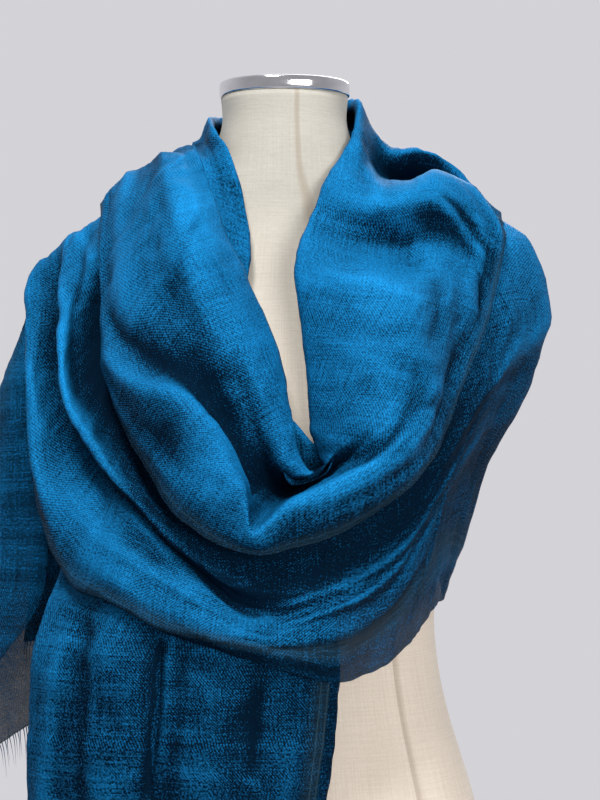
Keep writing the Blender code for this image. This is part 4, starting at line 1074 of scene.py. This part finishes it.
def linen_with_painted_light_and_shade():
    """Sheer twill of bright blue weft over nearly black warp, with uneven threads, double selvages and painted
    light and shade.
    """
    finish = Finish("blue_linen")
    u, v = finish.cut_place()
    edge = finish.attribute("edge")
    sheer = finish.attribute("sheer")
    painted_light_and_shade = finish.attribute("painted_light_and_shade")
    wobble = finish.cloud(u / 26.0, v / 26.0, detail=3.0) * 3.0
    lines = (u - v + wobble).wave(TWILL_PITCH)
    picks = (u + wobble * 0.5).wave(THREAD_PITCH)
    warps = (v - wobble * 0.5).wave(THREAD_PITCH)
    grit = finish.cloud(u / 1.7, v / 1.7, detail=2.0)
    thick_picks = finish.cloud(u / 0.9, v / 60.0, detail=1.0)
    thick_warps = finish.cloud(u / 80.0, v / 0.9, detail=1.0)
    tone = finish.cloud(u / 44.0, v / 60.0, detail=2.0)
    mottle = finish.cloud(u / 9.0, v / 7.0, detail=3.0)

    weave = lines * 0.16 + lines * warps * 0.12 + picks * warps * 0.08 + (grit - 0.5) * 1.5
    share = weave + 0.12 + (thick_picks - 0.5) * 0.6 + (thick_warps - 0.5) * 0.6
    # The last term adds painted light and shade: lighter where the cloth faces up and on its crests, darker in
    # hollows, creases and under the cowl
    share = share + (tone - 0.5) * 0.2 + (mottle - 0.5) * 0.25 + painted_light_and_shade
    colour = finish.mixed((share * 0.7).held(), (0.001, 0.006, 0.015, 1), (0.009, 0.23, 0.56, 1))
    threads = (edge - 1.2).size().below(0.5, 0.6) + (edge - 6.0).size().below(0.4, 0.6)
    near = edge.below(11.0, 10.0)
    colour = finish.mixed(near * 0.45, colour, (0.012, 0.026, 0.036, 1))
    colour = finish.mixed(threads.held() * 0.12, colour, (0.08, 0.16, 0.21, 1))
    gaps = (0.62 - share * 0.5 + (mottle - 0.5) * 0.35).held()
    alpha = 1.0 - sheer * gaps
    height = (grit - 0.5) * 0.9 + (thick_picks - 0.5) * 0.6 + (thick_warps - 0.5) * 0.5 + (mottle - 0.5) * 0.8
    return finish.set(
        Base_Color=colour,
        Roughness=0.62 - share * 0.12,
        Alpha=alpha.held(),
        Normal=finish.bump(height, 0.0004, 0.5),
        Specular_IOR_Level=0.03,
        Specular_Tint=(0.06, 0.5, 1.0, 1),
    )


def thread_linen():
    finish = Finish("blue_linen_threads")
    tone = finish.patches(3.0, 30.0)
    colour = finish.mixed(tone, (0.004, 0.03, 0.06, 1), (0.03, 0.22, 0.40, 1))
    return finish.set(Base_Color=colour, Roughness=0.7, Sheen_Weight=0.3, Sheen_Tint=(0.2, 0.55, 0.9, 1))


def taut_linen():
    """The form's beige cover: plain weave with vertical slubs, painted shade darkening it up the neck, and
    darker seams.
    """
    finish = Finish("beige_linen")
    x, y, z = finish.object_place()
    seam = finish.attribute("seam")
    around = finish.add("ShaderNodeMath", {"operation": "ARCTAN2"}, {0: y, 1: x}) * COVER_RADIUS
    warps = around.wave(COVER_PITCH)
    picks = z.wave(COVER_PITCH)
    slubs = finish.cloud(around / 1.3, z / 90.0, detail=2.0)
    cross_slubs = finish.cloud(around / 60.0, z / 1.1, detail=2.0)
    tone = finish.patches(60.0, 90.0)
    speck = finish.patches(2.2, 2.2, detail=3.0)
    share = 0.5 + warps * picks * 0.08 + (slubs - 0.5) * 0.6 + (cross_slubs - 0.5) * 0.6
    share = share + (tone - 0.5) * 0.4 + (speck - 0.5) * 0.4
    colour = finish.mixed(share.held(), (0.39, 0.33, 0.265, 1), (0.62, 0.545, 0.455, 1))
    # Painted shade: the cover is painted darker and greyer from 700 mm up the neck, where less light falls
    high = ((z - 700.0) / 300.0).held()
    colour = finish.mixed(high * 0.36, colour, (0.01, 0.08, 0.10, 1))
    stitched = seam.below(0.28, 0.3)
    colour = finish.mixed(stitched * 0.45, colour, (0.20, 0.15, 0.10, 1))
    height = (slubs - 0.5) * 0.9 + (cross_slubs - 0.5) * 0.4 + (speck - 0.5) * 0.5
    return finish.set(
        Base_Color=colour,
        Roughness=0.86 - share * 0.08,
        Normal=finish.bump(height, 0.0003, 0.3),
        Sheen_Weight=0.12,
    )


def polished_chrome():
    finish = Finish("chrome")
    smear = finish.patches(14.0, 6.0, detail=3.0)
    colour = finish.mixed(smear, (0.62, 0.62, 0.64, 1), (0.80, 0.80, 0.82, 1))
    return finish.set(Base_Color=colour, Metallic=1.0, Roughness=0.06 + smear * 0.10)


def brushed_steel():
    finish = Finish("steel")
    grain = finish.patches(0.6, 60.0)
    colour = finish.mixed(grain, (0.42, 0.42, 0.43, 1), (0.62, 0.62, 0.63, 1))
    height = finish.bump(grain, 0.0001, 0.3)
    return finish.set(Base_Color=colour, Metallic=1.0, Roughness=0.22 + grain * 0.2, Normal=height)


def satin_paint():
    finish = Finish("painted_base")
    peel = finish.patches(2.4, 2.4)
    wear = finish.patches(30.0, 30.0, detail=4.0)
    colour = finish.mixed(wear, (0.022, 0.022, 0.024, 1), (0.05, 0.05, 0.054, 1))
    return finish.set(Base_Color=colour, Roughness=0.38 + wear * 0.16, Normal=finish.bump(peel, 0.0002, 0.25))


def plain_floor():
    finish = Finish("pale_floor")
    tone = finish.patches(300.0, 300.0, detail=3.0)
    colour = finish.mixed(tone, (0.44, 0.44, 0.47, 1), (0.50, 0.50, 0.53, 1))
    return finish.set(Base_Color=colour, Roughness=0.8)


# ---- camera, light and floor

def placed(name, data, place, turn):
    made = bpy.data.objects.new(name, data)
    made.location = place
    made.rotation_euler = turn
    bpy.context.scene.collection.objects.link(made)
    return made


def camera_and_lamps():
    data = bpy.data.cameras.new("camera")
    data.lens = LENS
    data.sensor_width = 36
    turn = (math.radians(90), 0, math.radians(CAMERA_TURN))
    bpy.context.scene.camera = placed("camera", data, CAMERA_PLACE, turn)

    for name, place, size, power in LAMPS:
        data = bpy.data.lights.new(name, "AREA")
        data.size = size
        data.energy = power
        aim = Vector(LAMP_AIM) - Vector(place)
        placed(name, data, place, aim.to_track_quat("-Z", "Y").to_euler())


def room_light():
    """An even light from all round, brighter from behind the form."""
    world = bpy.data.worlds.new("studio")
    world.use_nodes = True
    nodes = world.node_tree.nodes
    links = world.node_tree.links
    background = nodes["Background"]
    background.inputs["Color"].default_value = (0.96, 0.95, 1.0, 1)
    direction = nodes.new("ShaderNodeTexCoord").outputs["Generated"]
    split = nodes.new("ShaderNodeSeparateXYZ")
    links.new(direction, split.inputs[0])
    brightness = nodes.new("ShaderNodeMapRange")
    for name, value in (("From Min", -0.4), ("From Max", 0.7), ("To Min", 0.4), ("To Max", 0.68)):
        brightness.inputs[name].default_value = value
    links.new(split.outputs["Y"], brightness.inputs["Value"])
    links.new(brightness.outputs["Result"], background.inputs["Strength"])
    bpy.context.scene.world = world
    bpy.context.scene.view_settings.view_transform = "Standard"


def stage_floor():
    bm = bmesh.new()
    bmesh.ops.create_circle(bm, cap_ends=True, segments=96, radius=FLOOR_RADIUS)
    mesh = bpy.data.meshes.new("floor")
    bm.to_mesh(mesh)
    bm.free()
    floor = bpy.data.objects.new("floor", mesh)
    floor.data.materials.append(plain_floor())
    bpy.context.scene.collection.objects.link(floor)


# ---- the pieces

camera_and_lamps()
room_light()
stage_floor()
fine, outer, inner, tail = lay_cloth()
blue = linen_with_painted_light_and_shade()
threads = thread_linen()

outer_sheet = whole_flap(fine["collar"], fine["cowl"])
inner_sheet = whole_flap(fine["back"], fine["swag"])
tail_sheet = fine["tail"]


def ramp(value, low, high):
    return min(max((value - low) / (high - low), 0.0), 1.0)


def outer_look(u, v):
    """How sheer the outer flap is at a place, and its painted shade, which is none. It is sheerest along its
    selvage.
    """
    return 0.02 + 0.35 * ramp(v, outer.across[-1] - SHEER_MARGIN, outer.across[-1]), 0.0


def inner_look(u, v):
    """How sheer the inner flap is, and its painted shade: darker under the cowl and beside the band, and
    sheerer as a single layer at the left throw.
    """
    a, s = inner.along, inner.across
    single = 0.3 * ramp(v, s[4], s[6]) + 0.45 * ramp(u, a[22], a[25])
    leftward = ramp(u, a[14], a[17])
    dark, light = (right + (left - right) * leftward for right, left in zip(PAINTED_SHADE_RIGHT, PAINTED_SHADE_LEFT))
    here = ramp(u, a[7], a[10]) * (1 - ramp(u, a[17], a[19]))
    # The second value is painted shade, darkest near the flap's top under the cowl and beside the band
    return 0.05 + single, 0.5 * (1 - ramp(v, dark, light)) * here


def tail_look(u, v):
    """The front end is as sheer all over and has the same painted shade all over, standing for the shade of the
    swag.
    """
    return 0.1, 0.1


outer_flap = cloth_shell(
    "outer_flap", outer_sheet, outer, OUTER_PAINTED_LIGHT_AND_SHADE, (outer.across[-1],), outer_look, blue,
    ["collar_left", "collar_back", "cowl", "throw_outer"],
)
inner_flap = cloth_shell(
    "inner_flap", inner_sheet, inner, INNER_PAINTED_LIGHT_AND_SHADE, (inner.across[6],), inner_look, blue,
    ["wrap_back", "lower_swag", "throw_inner"],
)
front_end = cloth_shell(
    "front_end", tail_sheet, tail, TAIL_PAINTED_LIGHT_AND_SHADE, (0.0, tail.across[-1]), tail_look, blue, ["front_tail"],
)

for node, (_, points, _), last in (
    ("fringe_tail", tail_sheet, False),
    ("fringe_throw_inner", inner_sheet, True),
    ("fringe_throw_outer", outer_sheet, True),
):
    edge, before = (points[-1], points[-2]) if last else (points[0], points[1])
    fringe(node, edge, edge - before, threads)

dress_form(taut_linen())
neck_band(polished_chrome())
turned_piece("pole", POLE, 64, brushed_steel(), ["stand_pole"])
turned_piece("base_plate", BASE, 128, satin_paint(), ["stand_base"])
